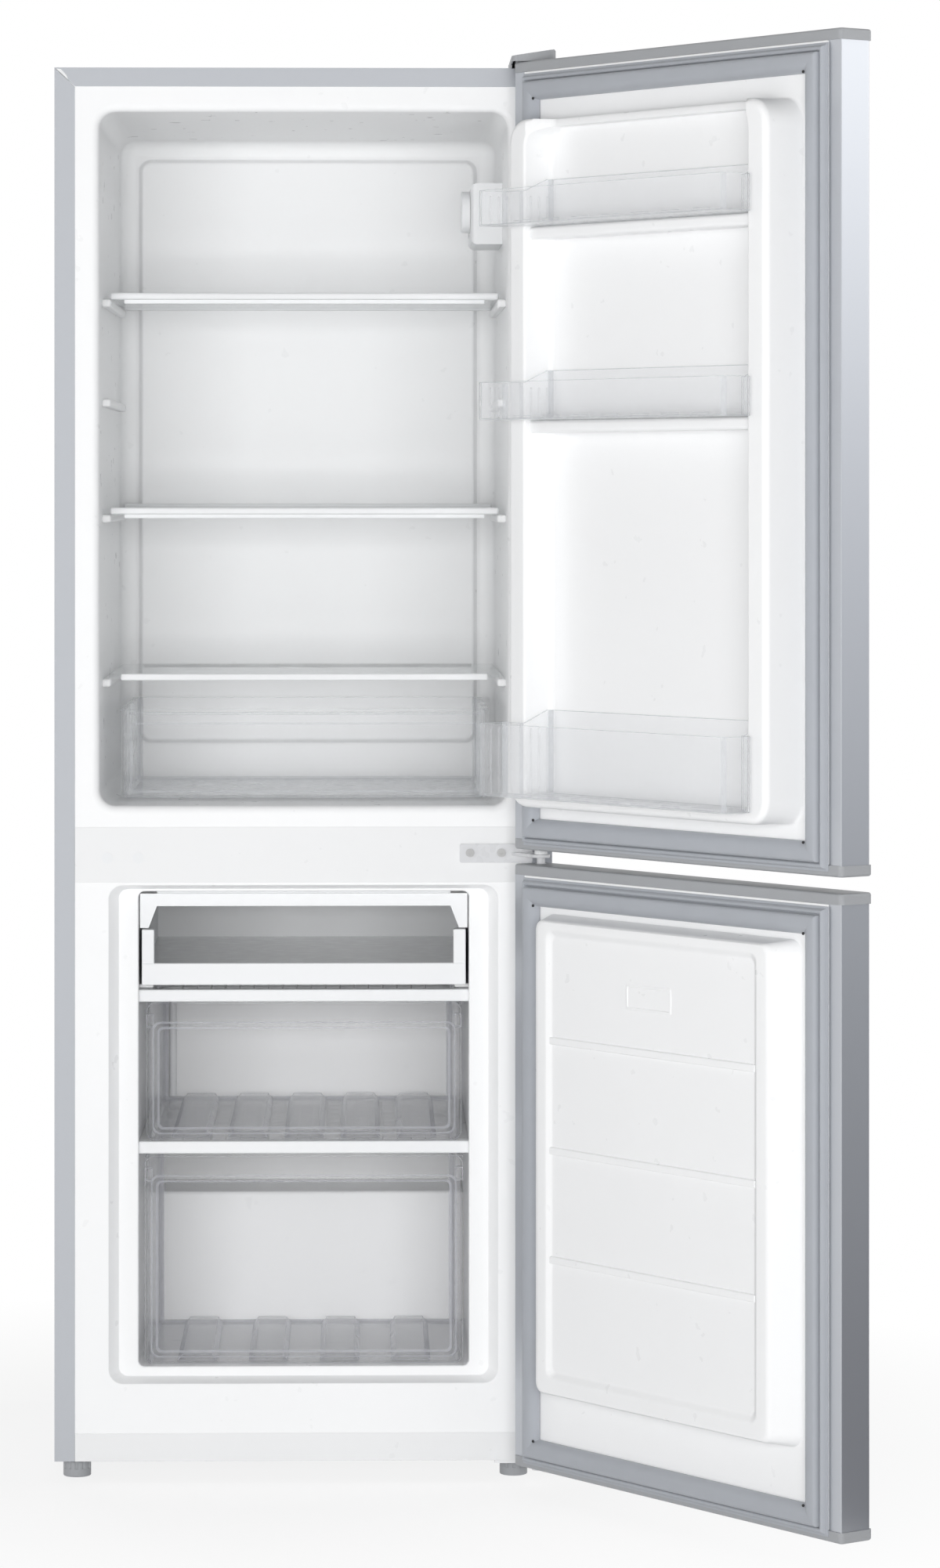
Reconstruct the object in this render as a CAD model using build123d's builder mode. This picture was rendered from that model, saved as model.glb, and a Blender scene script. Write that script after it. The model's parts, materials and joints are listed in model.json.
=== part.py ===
"""Bottom freezer refrigerator: 500 mm cabinet, fridge above, freezer with drawers below.

Millimetres, +Z up, +X to the right of a person who faces the open cabinet, +Y towards the wall.
The origin is on the floor, under the middle of the cabinet. Both doors stand open, as they rest.
"""
from build123d import *
import math
import os

# Cabinet
cabinet_width = 500.0
cabinet_depth = 480.0
cabinet_top = 1420.0
cabinet_bottom = 20.0
sheet = 0.8
side_flange = 20.5
top_flange = 19.0
flange_tuck = 6.0
mitre_gap = 0.5
edge_round = 0.6
liner_sheet = 1.5
seat_gap = 0.3

# Fridge compartment
fridge_half_width = 205.0
fridge_floor = 678.4
fridge_roof_wall = 44.4
fridge_rear_wall = 60.0
fridge_corner = 16.0
fridge_lip = 8.0
fridge_draft = 0.4
back_pad_half_width = 181.0
back_pad_bottom = 724.0
back_pad_drop = 23.6
back_pad_proud = 11.0
back_pad_corner = 10.0
guide_reach = 9.0
guide_height = 8.0
guide_front = 58.0
guide_rear_gap = 18.0
drain_hole_z = 700.0
drain_hole_diameter = 10.0

# Band between the compartments, and the plinth
band_bottom = 601.0
band_top = 657.0
band_return = 14.0
plinth_top = 48.0
plug_positions = (-197.0, -166.0)
plug_diameter = 9.0

# Freezer compartment
bezel_half_width = 195.0
bezel_bottom = 98.0
bezel_top = 598.0
bezel_slope = 9.0
bezel_depth = 20.0
bezel_corner = 14.0
freezer_half_width = 166.5
freezer_floor = 112.0
freezer_ceiling = 592.0
freezer_rear_wall = 80.0
freezer_corner = 6.0
freezer_lip = 1.5
freezer_step_length = 104.0
freezer_step_height = 252.0
runner_reach = 14.5
runner_height = 4.0
runner_front = 42.0
runner_rear_gap = 8.0

# Machine space at the rear foot of the cabinet
recess_depth = 150.0
recess_top = 215.0
base_sheet = 1.5

# Fridge shelves: top of the guide that carries each one
shelf_drop = 186.1
shelf_spacing = 219.0
shelf_front = 78.0
shelf_rear_gap = 11.0
shelf_half_width = 198.0
glass_thickness = 4.0
shelf_trim_height = 7.0
shelf_trim_depth = 13.0
shelf_rear_trim_height = 10.0
shelf_lip_half_width = 184.0
shelf_lip_height = 4.0
shelf_lip_width = 4.0
shelf_lip_setback = 9.0
shelf_corner = 3.0
shelf_trim_round = 1.2

# Crisper and its glass cover
cover_top = 808.0
cover_half_width = 199.5
cover_corner_cut = 14.0
crisper_half_width = 188.0
crisper_top = 772.5
crisper_front = 85.0
crisper_rear_gap = 24.0
crisper_wall = 2.4
crisper_corner = 8.0
crisper_rim = 4.0
crisper_front_inset = 9.0
crisper_lip_height = 5.0
crisper_lip_depth = 12.0

# Thermostat and lamp unit on the right wall
thermostat_face_x = 171.0
thermostat_drop = 62.6
thermostat_height = 63.0
thermostat_front = 150.0
thermostat_rear = 292.0
thermostat_wall = 2.0
thermostat_round = 7.0
knob_depth_position = 186.0
knob_rise = 34.5
knob_diameter = 43.0
knob_thickness = 9.0
knob_shaft_diameter = 6.0
shaft_clearance = 0.05
lamp_window_front = 222.0
lamp_window_rear = 280.0
lamp_window_height = 40.0
lamp_diameter = 20.0
lamp_socket_length = 16.0
knob_round = 2.0
knob_mark_width = 2.0
knob_mark_depth = 1.2
shaft_sleeve_length = 8.0
knob_shaft_length = 14.0
lamp_cover_ribs = 7
lamp_cover_rib_depth = 0.6
switch_size = (34.0, 9.0, 8.0)
switch_round = 1.5

# Freezer furniture
bar_tops = {"upper": 491.0, "lower": 337.6}
bar_height = 12.5
bar_front = 30.0
bar_depth = 10.0
bar_round = 2.0
tube_diameter = 8.0
wire_diameter = 1.6
evaporator_half_width = 145.0
evaporator_front = 55.0
riser_run = 18.0
evaporator_pitch = 39.0
wire_pitch = 14.5
riser_x = -130.0
riser_rear_gap = 10.0
trim_bar_bottom = 576.0
trim_bar_top = 588.5
trim_front = 22.0
trim_depth = 10.0
trim_bracket_inner = 148.0
trim_bracket_outer = 165.0
trim_bracket_bottom = 554.0
tray_half_width = 163.5
tray_front = 25.0
drawer_rear_gap = 14.0
tray_bottom = 496.0
tray_top = 552.0
tray_floor_top = 515.0
tray_bar_top = 518.0
tray_wall = 2.5
tray_post_width = 12.5
tray_post_depth = 18.0
drawer_front = 35.0
drawer_wall = 2.2
drawer_corner = 9.0
drawer_rim = 3.0
drawer_frame_margin = 6.5
drawer_frame_step = 2.0
upper_drawer_half_width = 159.5
upper_drawer_bottom = 338.0
upper_drawer_top = 477.6
lower_drawer_half_width = 161.0
lower_drawer_top = 322.6
lower_drawer_rear_gap = 5.0

# Doors, drawn closed and then turned open about the hinge line
door_thickness = 36.6
gasket_height = 12.1
upper_door_bottom = 637.5
door_top_rise = 2.5
lower_door_bottom = 22.0
lower_door_top = 622.5
door_skin_sheet = 0.6
door_front_round = 5.0
door_return = 20.0
cap_height = 10.5
cap_overhang = 1.2
cap_round = 2.5
cap_socket = 14.0
socket_diameter = 16.0
door_liner_sheet = 1.2
door_liner_margin = 16.0
door_open_angle = 125.4
hinge_inset = 12.6
hinge_forward = 35.0
pin_diameter = 8.0
bush_wall = 2.0
pin_clearance = 0.05
pin_reach = 9.0
gasket_outer = 19.0
gasket_inner = 44.0
gasket_inner_top = 40.0
gasket_inner_bottom = 32.0
gasket_squeeze = 0.4
gasket_lip = 1.6
gasket_shoulder = 2.8

# Upper door liner
dyke_half_width = 198.5
dyke_bottom = 684.0
dyke_top_drop = 62.5
dyke_reach = 36.0
dyke_round = 5.0
dyke_corner = 24.0
recess_half_width = 171.0
recess_top_band = 8.0
recess_floor = 2.0
recess_top_reach = 12.0
ledge_thickness = 12.0
ledge_reach = 30.0

# Door bins
top_bin_drop = 98.0
bin_spacing = 190.0
bottom_bin_floor = 696.0
bin_heights = {"top": 34.0, "middle": 36.0, "bottom": 70.0}
bin_left = 54.0
bin_right = 436.0
bin_front_depth = 35.5
bin_reach = 76.0
bin_back_rise = 12.0
bin_wall = 1.8
bin_corner = 7.0
bin_side_gap = 1.0

# Lower door liner
panel_half_width = 178.5
panel_bottom = 108.0
panel_top = 572.0
panel_reach = 17.0
panel_foot_spread = 20.0
panel_corner = 10.0
field_half_width = 158.5
field_bottom = 127.0
field_top = 560.0
field_depth = 4.0
field_corner = 8.0
rib_heights = (455.0, 347.0, 240.0)
rib_width = 7.0
rib_rise = 2.5

# Hinges
hinge_plate_thickness = 3.0
top_hinge_rise = 3.8
top_hinge_width = 34.0
top_hinge_rear = 66.0
top_cover_left = 208.0
top_cover_right = 252.0
top_cover_rise = 15.0
top_cover_slope = 6.5
top_cover_front = 14.0
top_cover_rear = 78.0
cover_door_gap = 0.8
top_cover_wall = 1.6
mid_hinge_left = 157.0
mid_hinge_right = 230.0
mid_hinge_bottom = 621.0
mid_hinge_top = 640.0
mid_hinge_arm_z = 630.0
hinge_arm_half_width = 9.0
mid_hinge_screws = (167.3, 198.8)
screw_height = 631.0
screw_head_diameter = 8.5
screw_head_height = 2.4
screw_shank_diameter = 4.0
screw_length = 12.0
bottom_hinge_left = 192.0
bottom_hinge_rear = 62.0
hinge_screw_setbacks = (20.0, 50.0)
collar_diameter = 13.0

# Feet
foot_diameter = 28.0
foot_height = 16.0
foot_stem_diameter = 8.0
foot_stem_clearance = 0.05
foot_positions = {"left": -229.0, "right": 212.0}
foot_setback = 36.0
rear_foot_x = 205.0
rear_foot_setback = 30.0
rear_foot_diameter = 30.0

# Refrigeration unit
compressor_x = 90.0
compressor_half_length = 84.0
compressor_half_width = 56.0
compressor_height = 138.0
compressor_round = 34.0
compressor_foot = 3.0
mount_diameter = 24.0
mount_height = 14.0
mount_bolt_diameter = 8.0
terminal_box_width = 46.0
terminal_box_depth = 30.0
terminal_box_height = 52.0
gland_diameter = 14.0
gland_bore = 7.5
drip_tray_length = 150.0
drip_tray_width = 96.0
drip_tray_height = 18.0
drip_tray_wall = 1.8
drip_tray_shift = 14.0
pipe_diameter = 5.0
pipe_bend = 9.0
pipe_side = 23.0
drain_tube_diameter = 14.0
drain_tube_bore = 10.0
condenser_tube = 5.0
condenser_wire = 1.6
condenser_half_width = 205.0
condenser_bottom = 300.0
condenser_top = 1210.0
condenser_pitch = 65.0
condenser_wire_pitch = 16.0
condenser_standoff = 14.0
clip_width = 16.0
clip_height = 22.0
clip_hold = 1.0
drier_diameter = 19.0
drier_length = 90.0
drain_setback = 26.0
drain_bend = 14.0
foot_nut_diameter = 16.0
foot_nut_height = 26.0
foot_stem_length = 22.0
rail_width = 16.0
saddle_width = 28.0
mount_neck = 4.0
terminal_box_seat = 4.0
terminal_box_round = 3.0
gland_height = 16.0
gland_length = 14.0
drip_tray_corner = 10.0
wire_overhang = 8.0
plate_thickness = 1.4
plate_margin = 16.0
channel_width = 7.0
channel_rise = 2.0
channel_pitch = 52.0

front_y = -cabinet_depth / 2
rear_y = cabinet_depth / 2
half_width = cabinet_width / 2
pin_x = half_width - hinge_inset
pin_y = front_y - hinge_forward
hinge_line = Axis((pin_x, pin_y, 0), (0, 0, 1))
fridge_ceiling = cabinet_top - fridge_roof_wall
fridge_depth = cabinet_depth - fridge_rear_wall
freezer_depth = cabinet_depth - freezer_rear_wall
freezer_step_depth = freezer_depth - freezer_step_length
back_pad_top = fridge_ceiling - back_pad_drop
guide_rear = fridge_depth - guide_rear_gap
runner_rear = freezer_depth - runner_rear_gap
shelf_rear = fridge_depth - shelf_rear_gap
crisper_rear = fridge_depth - crisper_rear_gap
riser_depth = freezer_depth - riser_rear_gap
evaporator_rear = riser_depth - riser_run
upper_drawer_rear = freezer_depth - drawer_rear_gap
lower_drawer_rear = freezer_step_depth - lower_drawer_rear_gap
shelf_heights = {"upper": fridge_ceiling - shelf_drop}
shelf_heights["lower"] = shelf_heights["upper"] - shelf_spacing
spare_guide_top = (shelf_heights["upper"] + shelf_heights["lower"]) / 2 + guide_height
thermostat_top = fridge_ceiling - thermostat_drop
thermostat_bottom = thermostat_top - thermostat_height
knob_height = thermostat_bottom + knob_rise
upper_door_top = cabinet_top + door_top_rise
dyke_top = upper_door_top - dyke_top_drop
recess_top_edge = dyke_top - recess_top_band
top_cover_top = cabinet_top + top_cover_rise
bin_floors = {"top": recess_top_edge - top_bin_drop, "bottom": bottom_bin_floor}
bin_floors["middle"] = bin_floors["top"] - bin_spacing
door_rear_y = front_y - gasket_height
door_front_y = door_rear_y - door_thickness
liner_face_y = front_y + sheet
recess_bottom = bin_floors["bottom"] - seat_gap
bin_middle_x = half_width - (bin_left + bin_right) / 2
recess_y = rear_y - recess_depth
drain_y = rear_y - drain_setback

os.makedirs("parts", exist_ok=True)


def save(part, name):
    """Label one finished piece and write it to its own file."""
    part.label = name
    export_step(part, f"parts/{name}.step")


def hang(part, name):
    """Turn a door piece from its closed place to its open one, then write it."""
    save(part.rotate(hinge_line, door_open_angle), name)


def block(x, y, z, mode=Mode.ADD):
    """A box between two corners, in the part that is being built."""
    with Locations(((x[0] + x[1]) / 2, (y[0] + y[1]) / 2, (z[0] + z[1]) / 2)):
        Box(x[1] - x[0], y[1] - y[0], z[1] - z[0], mode=mode)


def post(x, y, z, diameter, mode=Mode.ADD):
    """An upright cylinder between two heights, in the part that is being built."""
    with Locations((x, y, (z[0] + z[1]) / 2)):
        Cylinder(diameter / 2, z[1] - z[0], mode=mode)


def depth(d):
    """The y of a place that lies d behind the cabinet's front plane."""
    return front_y + d


def facing_wall(y):
    """An upright plane at y whose normal points to the wall and whose sketch y is up."""
    return Plane(origin=(0, y, 0), x_dir=(-1, 0, 0), z_dir=(0, 1, 0))


def mirrored(low, high):
    """The two x ranges of a piece that is on both sides of the middle."""
    return ((low, high), (-high, -low))


# ---------------------------------------------------------------- cabinet shell
flange_inner_x = half_width - side_flange
flange_inner_z = cabinet_top - top_flange

with BuildPart() as outer_cabinet:
    block((-half_width, half_width), (front_y, rear_y), (cabinet_bottom, cabinet_top))
    block(
        (-half_width + sheet, half_width - sheet),
        (front_y + sheet, rear_y),
        (cabinet_bottom, cabinet_top - sheet),
        Mode.SUBTRACT,
    )
    block(
        (-flange_inner_x, flange_inner_x),
        (front_y, front_y + sheet),
        (cabinet_bottom, flange_inner_z),
        Mode.SUBTRACT,
    )
    fillet(outer_cabinet.faces().sort_by(Axis.Y)[0].outer_wire().edges(), edge_round)
    for side in (-1, 1):
        with BuildSketch(Plane.XZ.offset(-front_y - sheet)):
            with BuildLine():
                seam = Line(
                    (side * (flange_inner_x - mitre_gap), flange_inner_z - mitre_gap),
                    (side * (half_width - sheet - mitre_gap), cabinet_top - sheet - mitre_gap),
                )
            trace(seam, line_width=mitre_gap)
        extrude(amount=2 * sheet, mode=Mode.SUBTRACT)
save(outer_cabinet.part, "outer_cabinet")

with BuildPart() as rear_panel:
    block(
        (-half_width + sheet, half_width - sheet),
        (rear_y - sheet, rear_y),
        (recess_top, cabinet_top - sheet),
    )
save(rear_panel.part, "rear_panel")

# Front feet screw into tall weld nuts on the base plate, which the foam surrounds.
foot_y = depth(foot_setback)
nut_z = (cabinet_bottom, cabinet_bottom + base_sheet + foot_nut_height)
stem_top = foot_height + foot_stem_length
stem_bore = foot_stem_diameter + 2 * foot_stem_clearance

with BuildPart() as base_plate:
    block(
        (-half_width + sheet, half_width - sheet),
        (front_y + sheet, rear_y),
        (cabinet_bottom, cabinet_bottom + base_sheet),
    )
    block(
        (-half_width + sheet, half_width - sheet),
        (recess_y - base_sheet, recess_y),
        (cabinet_bottom, recess_top),
    )
    block(
        (-half_width + sheet, half_width - sheet),
        (recess_y - base_sheet, rear_y - sheet),
        (recess_top - base_sheet, recess_top),
    )
    for x in foot_positions.values():
        post(x, foot_y, nut_z, foot_nut_diameter)
        post(x, foot_y, (cabinet_bottom, stem_top + 2), stem_bore, Mode.SUBTRACT)
    post(
        compressor_x,
        drain_y,
        (recess_top - base_sheet, recess_top),
        drain_tube_diameter,
        Mode.SUBTRACT,
    )
save(base_plate.part, "base_plate")


# ---------------------------------------------------------------- liners and insulation
def fridge_form(grow):
    """The space inside the fridge liner, grown on every side by part of the sheet's thickness."""
    start = liner_face_y + grow
    height = fridge_ceiling - fridge_floor
    with BuildPart() as form:
        with BuildSketch(facing_wall(start)):
            with Locations((0, (fridge_ceiling + fridge_floor) / 2)):
                RectangleRounded(
                    2 * (fridge_half_width + grow), height + 2 * grow, fridge_corner + grow
                )
        extrude(amount=fridge_depth, taper=fridge_draft)
        block(
            (-half_width, half_width),
            (front_y - side_flange, start),
            (band_bottom, cabinet_top + top_flange),
        )
        plate = form.faces().filter_by_position(Axis.Y, start - 0.01, start + 0.01)[0]
        fillet(plate.inner_wires()[0].edges(), fridge_lip - grow)
        with BuildSketch(facing_wall(depth(fridge_depth - back_pad_proud) + sheet + grow)):
            with Locations((0, (back_pad_top + back_pad_bottom) / 2)):
                RectangleRounded(
                    2 * (back_pad_half_width - grow),
                    back_pad_top - back_pad_bottom - 2 * grow,
                    back_pad_corner,
                )
        extrude(amount=2 * back_pad_proud, mode=Mode.SUBTRACT)
    return form.part


def freezer_form(grow):
    """The space inside the freezer liner, with its set-back frame and its step over the machine."""
    start = liner_face_y + grow
    frame_y = depth(bezel_depth) + grow
    outer_size = (2 * (bezel_half_width + grow), bezel_top - bezel_bottom + 2 * grow)
    middle = (bezel_top + bezel_bottom) / 2
    with BuildPart() as form:
        with BuildSketch(facing_wall(start)):
            with Locations((0, middle)):
                RectangleRounded(*outer_size, bezel_corner + grow)
        with BuildSketch(facing_wall(frame_y)):
            with Locations((0, middle)):
                RectangleRounded(
                    outer_size[0] - 2 * bezel_slope,
                    outer_size[1] - bezel_slope,
                    bezel_corner + grow - bezel_slope / 2,
                )
        loft()
        block(
            (-half_width, half_width),
            (front_y - side_flange, start),
            (cabinet_bottom, band_top),
        )
        with BuildSketch(facing_wall(frame_y)):
            with Locations((0, (freezer_ceiling + freezer_floor) / 2)):
                RectangleRounded(
                    2 * (freezer_half_width + grow),
                    freezer_ceiling - freezer_floor + 2 * grow,
                    freezer_corner + grow,
                )
        extrude(amount=freezer_depth - bezel_depth)
        block(
            (-half_width, half_width),
            (depth(freezer_step_depth) + grow, rear_y),
            (cabinet_bottom, freezer_step_height - grow),
            Mode.SUBTRACT,
        )
    return form.part


fridge_space = fridge_form(0)
fridge_back = fridge_form(liner_sheet)
freezer_space = freezer_form(0)
freezer_back = freezer_form(liner_sheet)
liner_rear = depth(fridge_depth) + sheet + liner_sheet
liner_half_width = flange_inner_x + flange_tuck


def shelf_guides(top):
    """One pair of moulded guides for a shelf whose underside rests at this height."""
    for x in mirrored(fridge_half_width - guide_reach, fridge_half_width + liner_sheet / 2):
        block(x, (depth(guide_front), depth(guide_rear)), (top - guide_height, top))


with BuildPart() as fridge_liner:
    block(
        (-liner_half_width, liner_half_width),
        (liner_face_y, liner_rear),
        (band_top - flange_tuck, flange_inner_z + flange_tuck),
    )
    add(fridge_space, mode=Mode.SUBTRACT)
    for height in (*shelf_heights.values(), spare_guide_top, cover_top - glass_thickness - seat_gap):
        shelf_guides(height)
    add(fridge_back, mode=Mode.INTERSECT)
    with Locations(Plane(origin=(compressor_x, liner_rear, drain_hole_z), z_dir=(0, 1, 0))):
        Cylinder(drain_hole_diameter / 2, 8 * liner_sheet, mode=Mode.SUBTRACT)
save(fridge_liner.part, "fridge_liner")


def drawer_runners(top, rear=runner_rear):
    """One pair of moulded runners under a freezer drawer."""
    for x in mirrored(freezer_half_width - runner_reach, freezer_half_width + liner_sheet / 2):
        block(x, (depth(runner_front), depth(rear)), (top - runner_height, top))


with BuildPart() as freezer_liner:
    block(
        (-liner_half_width, liner_half_width),
        (liner_face_y, depth(freezer_depth) + 2 * liner_sheet),
        (plinth_top - flange_tuck, band_bottom + flange_tuck),
    )
    add(freezer_back, mode=Mode.INTERSECT)
    add(freezer_space, mode=Mode.SUBTRACT)
    drawer_runners(tray_bottom - seat_gap)
    drawer_runners(upper_drawer_bottom - seat_gap)
save(freezer_liner.part, "freezer_liner")

with BuildPart() as mid_band:
    block(
        (-flange_inner_x, flange_inner_x),
        (front_y, front_y + sheet),
        (band_bottom, band_top),
    )
    for z in (band_bottom + flange_tuck, band_top - flange_tuck):
        block(
            (-flange_inner_x, flange_inner_x),
            (front_y + sheet, depth(band_return)),
            (z - sheet, z) if z > screw_height else (z, z + sheet),
        )
    fillet(mid_band.faces().sort_by(Axis.Y)[0].outer_wire().edges(), edge_round / 2)
    with Locations(*[Plane(origin=(x, front_y, screw_height - 5), z_dir=(0, -1, 0)) for x in plug_positions]):
        Cylinder(plug_diameter / 2, 4 * sheet, mode=Mode.SUBTRACT)
    with Locations(*[Plane(origin=(x, front_y, screw_height), z_dir=(0, -1, 0)) for x in mid_hinge_screws]):
        Cylinder(screw_shank_diameter / 2, 4 * sheet, mode=Mode.SUBTRACT)
save(mid_band.part, "mid_band")

with BuildPart() as plinth_rail:
    block((-flange_inner_x, flange_inner_x), (front_y, front_y + sheet), (cabinet_bottom, plinth_top))
    fillet(plinth_rail.faces().sort_by(Axis.Y)[0].outer_wire().edges(), edge_round / 2)
save(plinth_rail.part, "plinth_rail")

with BuildPart() as hole_plugs:
    for x in plug_positions:
        with Locations(Plane(origin=(x, front_y, screw_height - 5), z_dir=(0, -1, 0))):
            Cylinder(plug_diameter / 2 + 1, sheet, align=(Align.CENTER, Align.CENTER, Align.MIN))
            Cylinder(plug_diameter / 2, 3 * sheet, align=(Align.CENTER, Align.CENTER, Align.MAX))
save(hole_plugs.part, "hole_plugs")

# The fridge evaporator is a plate behind the raised part of the liner's back.
plate_y = depth(fridge_depth - back_pad_proud) + sheet + liner_sheet

with BuildPart() as fridge_evaporator:
    plate_half = back_pad_half_width - plate_margin
    plate_low = back_pad_bottom + 2 * plate_margin
    plate_high = back_pad_top - plate_margin
    block((-plate_half, plate_half), (plate_y, plate_y + plate_thickness), (plate_low, plate_high))
    runs = int((plate_high - plate_low - 2 * channel_width) // channel_pitch)
    channel_y = (plate_y + plate_thickness, plate_y + plate_thickness + channel_rise)
    reach = plate_half - channel_width
    for i in range(runs + 1):
        z = plate_high - 2 * channel_width - i * channel_pitch
        block((-reach, reach), channel_y, (z, z + channel_width))
        if i < runs:
            x = reach if i % 2 else channel_width - reach
            block((x - channel_width, x), channel_y, (z - channel_pitch, z))
save(fridge_evaporator.part, "fridge_evaporator")

# The drain runs from the foot of the fridge's back wall down to the tray on the compressor.
compressor_y = (recess_y + rear_y) / 2
compressor_base = cabinet_bottom + base_sheet + mount_height + compressor_foot
compressor_crown = compressor_base + compressor_height
drip_tray_base = compressor_crown
drain_outlet_z = drip_tray_base + drip_tray_height - 3



def drain(*diameters):
    """The drain's bent run, with the first diameter outside and the next one, if any, as its bore."""
    with BuildPart() as run:
        with BuildLine():
            FilletPolyline(
                (compressor_x, liner_rear, drain_hole_z),
                (compressor_x, drain_y, drain_hole_z),
                (compressor_x, drain_y, drain_outlet_z),
                radius=drain_bend,
            )
        with BuildSketch(Plane(origin=(compressor_x, liner_rear, drain_hole_z), z_dir=(0, 1, 0))):
            Circle(diameters[0] / 2)
            for bore in diameters[1:]:
                Circle(bore / 2, mode=Mode.SUBTRACT)
        sweep()
    return run.part


save(drain(drain_tube_diameter, drain_tube_bore), "drain_tube")


# A magnet in the upper door's seal works this sealed switch behind the top of the fridge's frame.
with BuildPart() as lamp_switch:
    switch_z = fridge_ceiling + fridge_lip + liner_sheet + flange_tuck
    block(
        (-switch_size[0] / 2, switch_size[0] / 2),
        (liner_face_y + liner_sheet, liner_face_y + liner_sheet + switch_size[1]),
        (switch_z, switch_z + switch_size[2]),
    )
    fillet(lamp_switch.edges().filter_by(Axis.Y), switch_round)
save(lamp_switch.part, "lamp_switch")

with BuildPart() as cabinet_insulation:
    block(
        (-half_width + sheet, half_width - sheet),
        (liner_face_y + liner_sheet, rear_y - sheet),
        (cabinet_bottom + base_sheet, cabinet_top - sheet),
    )
    block(
        (-half_width, half_width),
        (recess_y - base_sheet, rear_y),
        (cabinet_bottom, recess_top),
        Mode.SUBTRACT,
    )
    for form in (fridge_back, freezer_back, fridge_evaporator.part, drain(drain_tube_diameter)):
        add(form, mode=Mode.SUBTRACT)
    add(mid_band.part, mode=Mode.SUBTRACT)
    add(hole_plugs.part, mode=Mode.SUBTRACT)
    add(lamp_switch.part, mode=Mode.SUBTRACT)
    for x in foot_positions.values():
        post(x, foot_y, nut_z, foot_nut_diameter, Mode.SUBTRACT)
    for x in mid_hinge_screws:
        with Locations(Plane(origin=(x, front_y, screw_height), z_dir=(0, 1, 0))):
            Cylinder(screw_shank_diameter / 2, 2 * screw_length, mode=Mode.SUBTRACT)
save(cabinet_insulation.part, "cabinet_insulation")

# ---------------------------------------------------------------- machine space
def mount_places():
    """The four corners where the compressor's feet stand."""
    inset = mount_diameter / 2
    return [
        (compressor_x + sx * (compressor_half_length - inset), compressor_y + sy * compressor_half_width)
        for sx in (-1, 1)
        for sy in (-1, 1)
    ]


with BuildPart() as compressor:
    with BuildSketch(Plane.XY.offset(compressor_base)):
        with Locations((compressor_x, compressor_y)):
            Ellipse(compressor_half_length, compressor_half_width)
    extrude(amount=compressor_height)
    fillet(compressor.edges(), compressor_round)
    foot_z = (compressor_base - compressor_foot, compressor_base)
    for x, y in mount_places():
        post(x, y, foot_z, mount_diameter)
        post(x, y, foot_z, mount_bolt_diameter, Mode.SUBTRACT)
    inset = mount_diameter / 2
    for side in (-1, 1):
        middle = compressor_x + side * (compressor_half_length - inset)
        block(
            (middle - rail_width / 2, middle + rail_width / 2),
            (compressor_y - compressor_half_width, compressor_y + compressor_half_width),
            foot_z,
        )
        for y in (-1, 1):
            post(
                middle,
                compressor_y + y * compressor_half_width,
                foot_z,
                mount_bolt_diameter,
                Mode.SUBTRACT,
            )
    block(
        (compressor_x - compressor_half_length + inset, compressor_x + compressor_half_length - inset),
        (compressor_y - saddle_width / 2, compressor_y + saddle_width / 2),
        (compressor_base - compressor_foot, compressor_base + compressor_foot),
    )
save(compressor.part, "compressor")

with BuildPart() as compressor_mounts:
    mount_base = cabinet_bottom + base_sheet
    for x, y in mount_places():
        post(x, y, (mount_base, mount_base + mount_height), mount_diameter - mount_neck)
        post(x, y, (mount_base, mount_base + mount_height + compressor_foot), mount_bolt_diameter)
        post(
            x,
            y,
            (
                mount_base + mount_height + compressor_foot,
                mount_base + mount_height + compressor_foot + mount_neck,
            ),
            mount_diameter - 2 * mount_neck,
        )
save(compressor_mounts.part, "compressor_mounts")

with BuildPart() as terminal_box:
    box_x = compressor_x - compressor_half_length
    box_z = compressor_base + compressor_round
    block(
        (box_x - terminal_box_depth, box_x + terminal_box_seat),
        (compressor_y - terminal_box_width / 2, compressor_y + terminal_box_width / 2),
        (box_z, box_z + terminal_box_height),
    )
    fillet(terminal_box.edges().filter_by(Axis.Z), terminal_box_round)
    with Locations(
        Plane(
            origin=(
                box_x - terminal_box_depth / 2,
                compressor_y + terminal_box_width / 2,
                box_z + gland_height,
            ),
            z_dir=(0, 1, 0),
        )
    ):
        Cylinder(gland_diameter / 2, gland_length, align=(Align.CENTER, Align.CENTER, Align.MIN))
        Cylinder(gland_bore / 2, terminal_box_width, mode=Mode.SUBTRACT)
    add(compressor.part, mode=Mode.SUBTRACT)
save(terminal_box.part, "terminal_box")

with BuildPart() as drip_tray:
    with BuildSketch(Plane.XY.offset(drip_tray_base)):
        with Locations((compressor_x, compressor_y + drip_tray_shift)):
            RectangleRounded(drip_tray_length, drip_tray_width, drip_tray_corner)
    extrude(amount=drip_tray_height)
    offset(
        amount=-drip_tray_wall,
        openings=drip_tray.faces().sort_by(Axis.Z)[-1],
    )
save(drip_tray.part, "drip_tray")

with BuildPart() as condenser:
    tube_y = rear_y + condenser_standoff
    rows = int((condenser_top - condenser_bottom) // condenser_pitch)
    points = []
    for row in range(rows + 1):
        z = condenser_bottom + row * condenser_pitch
        ends = (-condenser_half_width, condenser_half_width)
        for x in ends if row % 2 == 0 else reversed(ends):
            points.append((x, tube_y, z))
    with BuildLine():
        FilletPolyline(*points, radius=condenser_pitch / 2.2)
    with BuildSketch(Plane(origin=points[0], z_dir=(1, 0, 0))):
        Circle(condenser_tube / 2)
    sweep()
    wires = int(2 * (condenser_half_width - condenser_pitch / 2) // condenser_wire_pitch)
    wire_y = tube_y + (condenser_tube + condenser_wire) / 2
    for i in range(wires + 1):
        x = (i - wires / 2) * condenser_wire_pitch
        post(x, wire_y, (condenser_bottom - wire_overhang, points[-1][2] + wire_overhang), condenser_wire)
save(condenser.part, "condenser")

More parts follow.
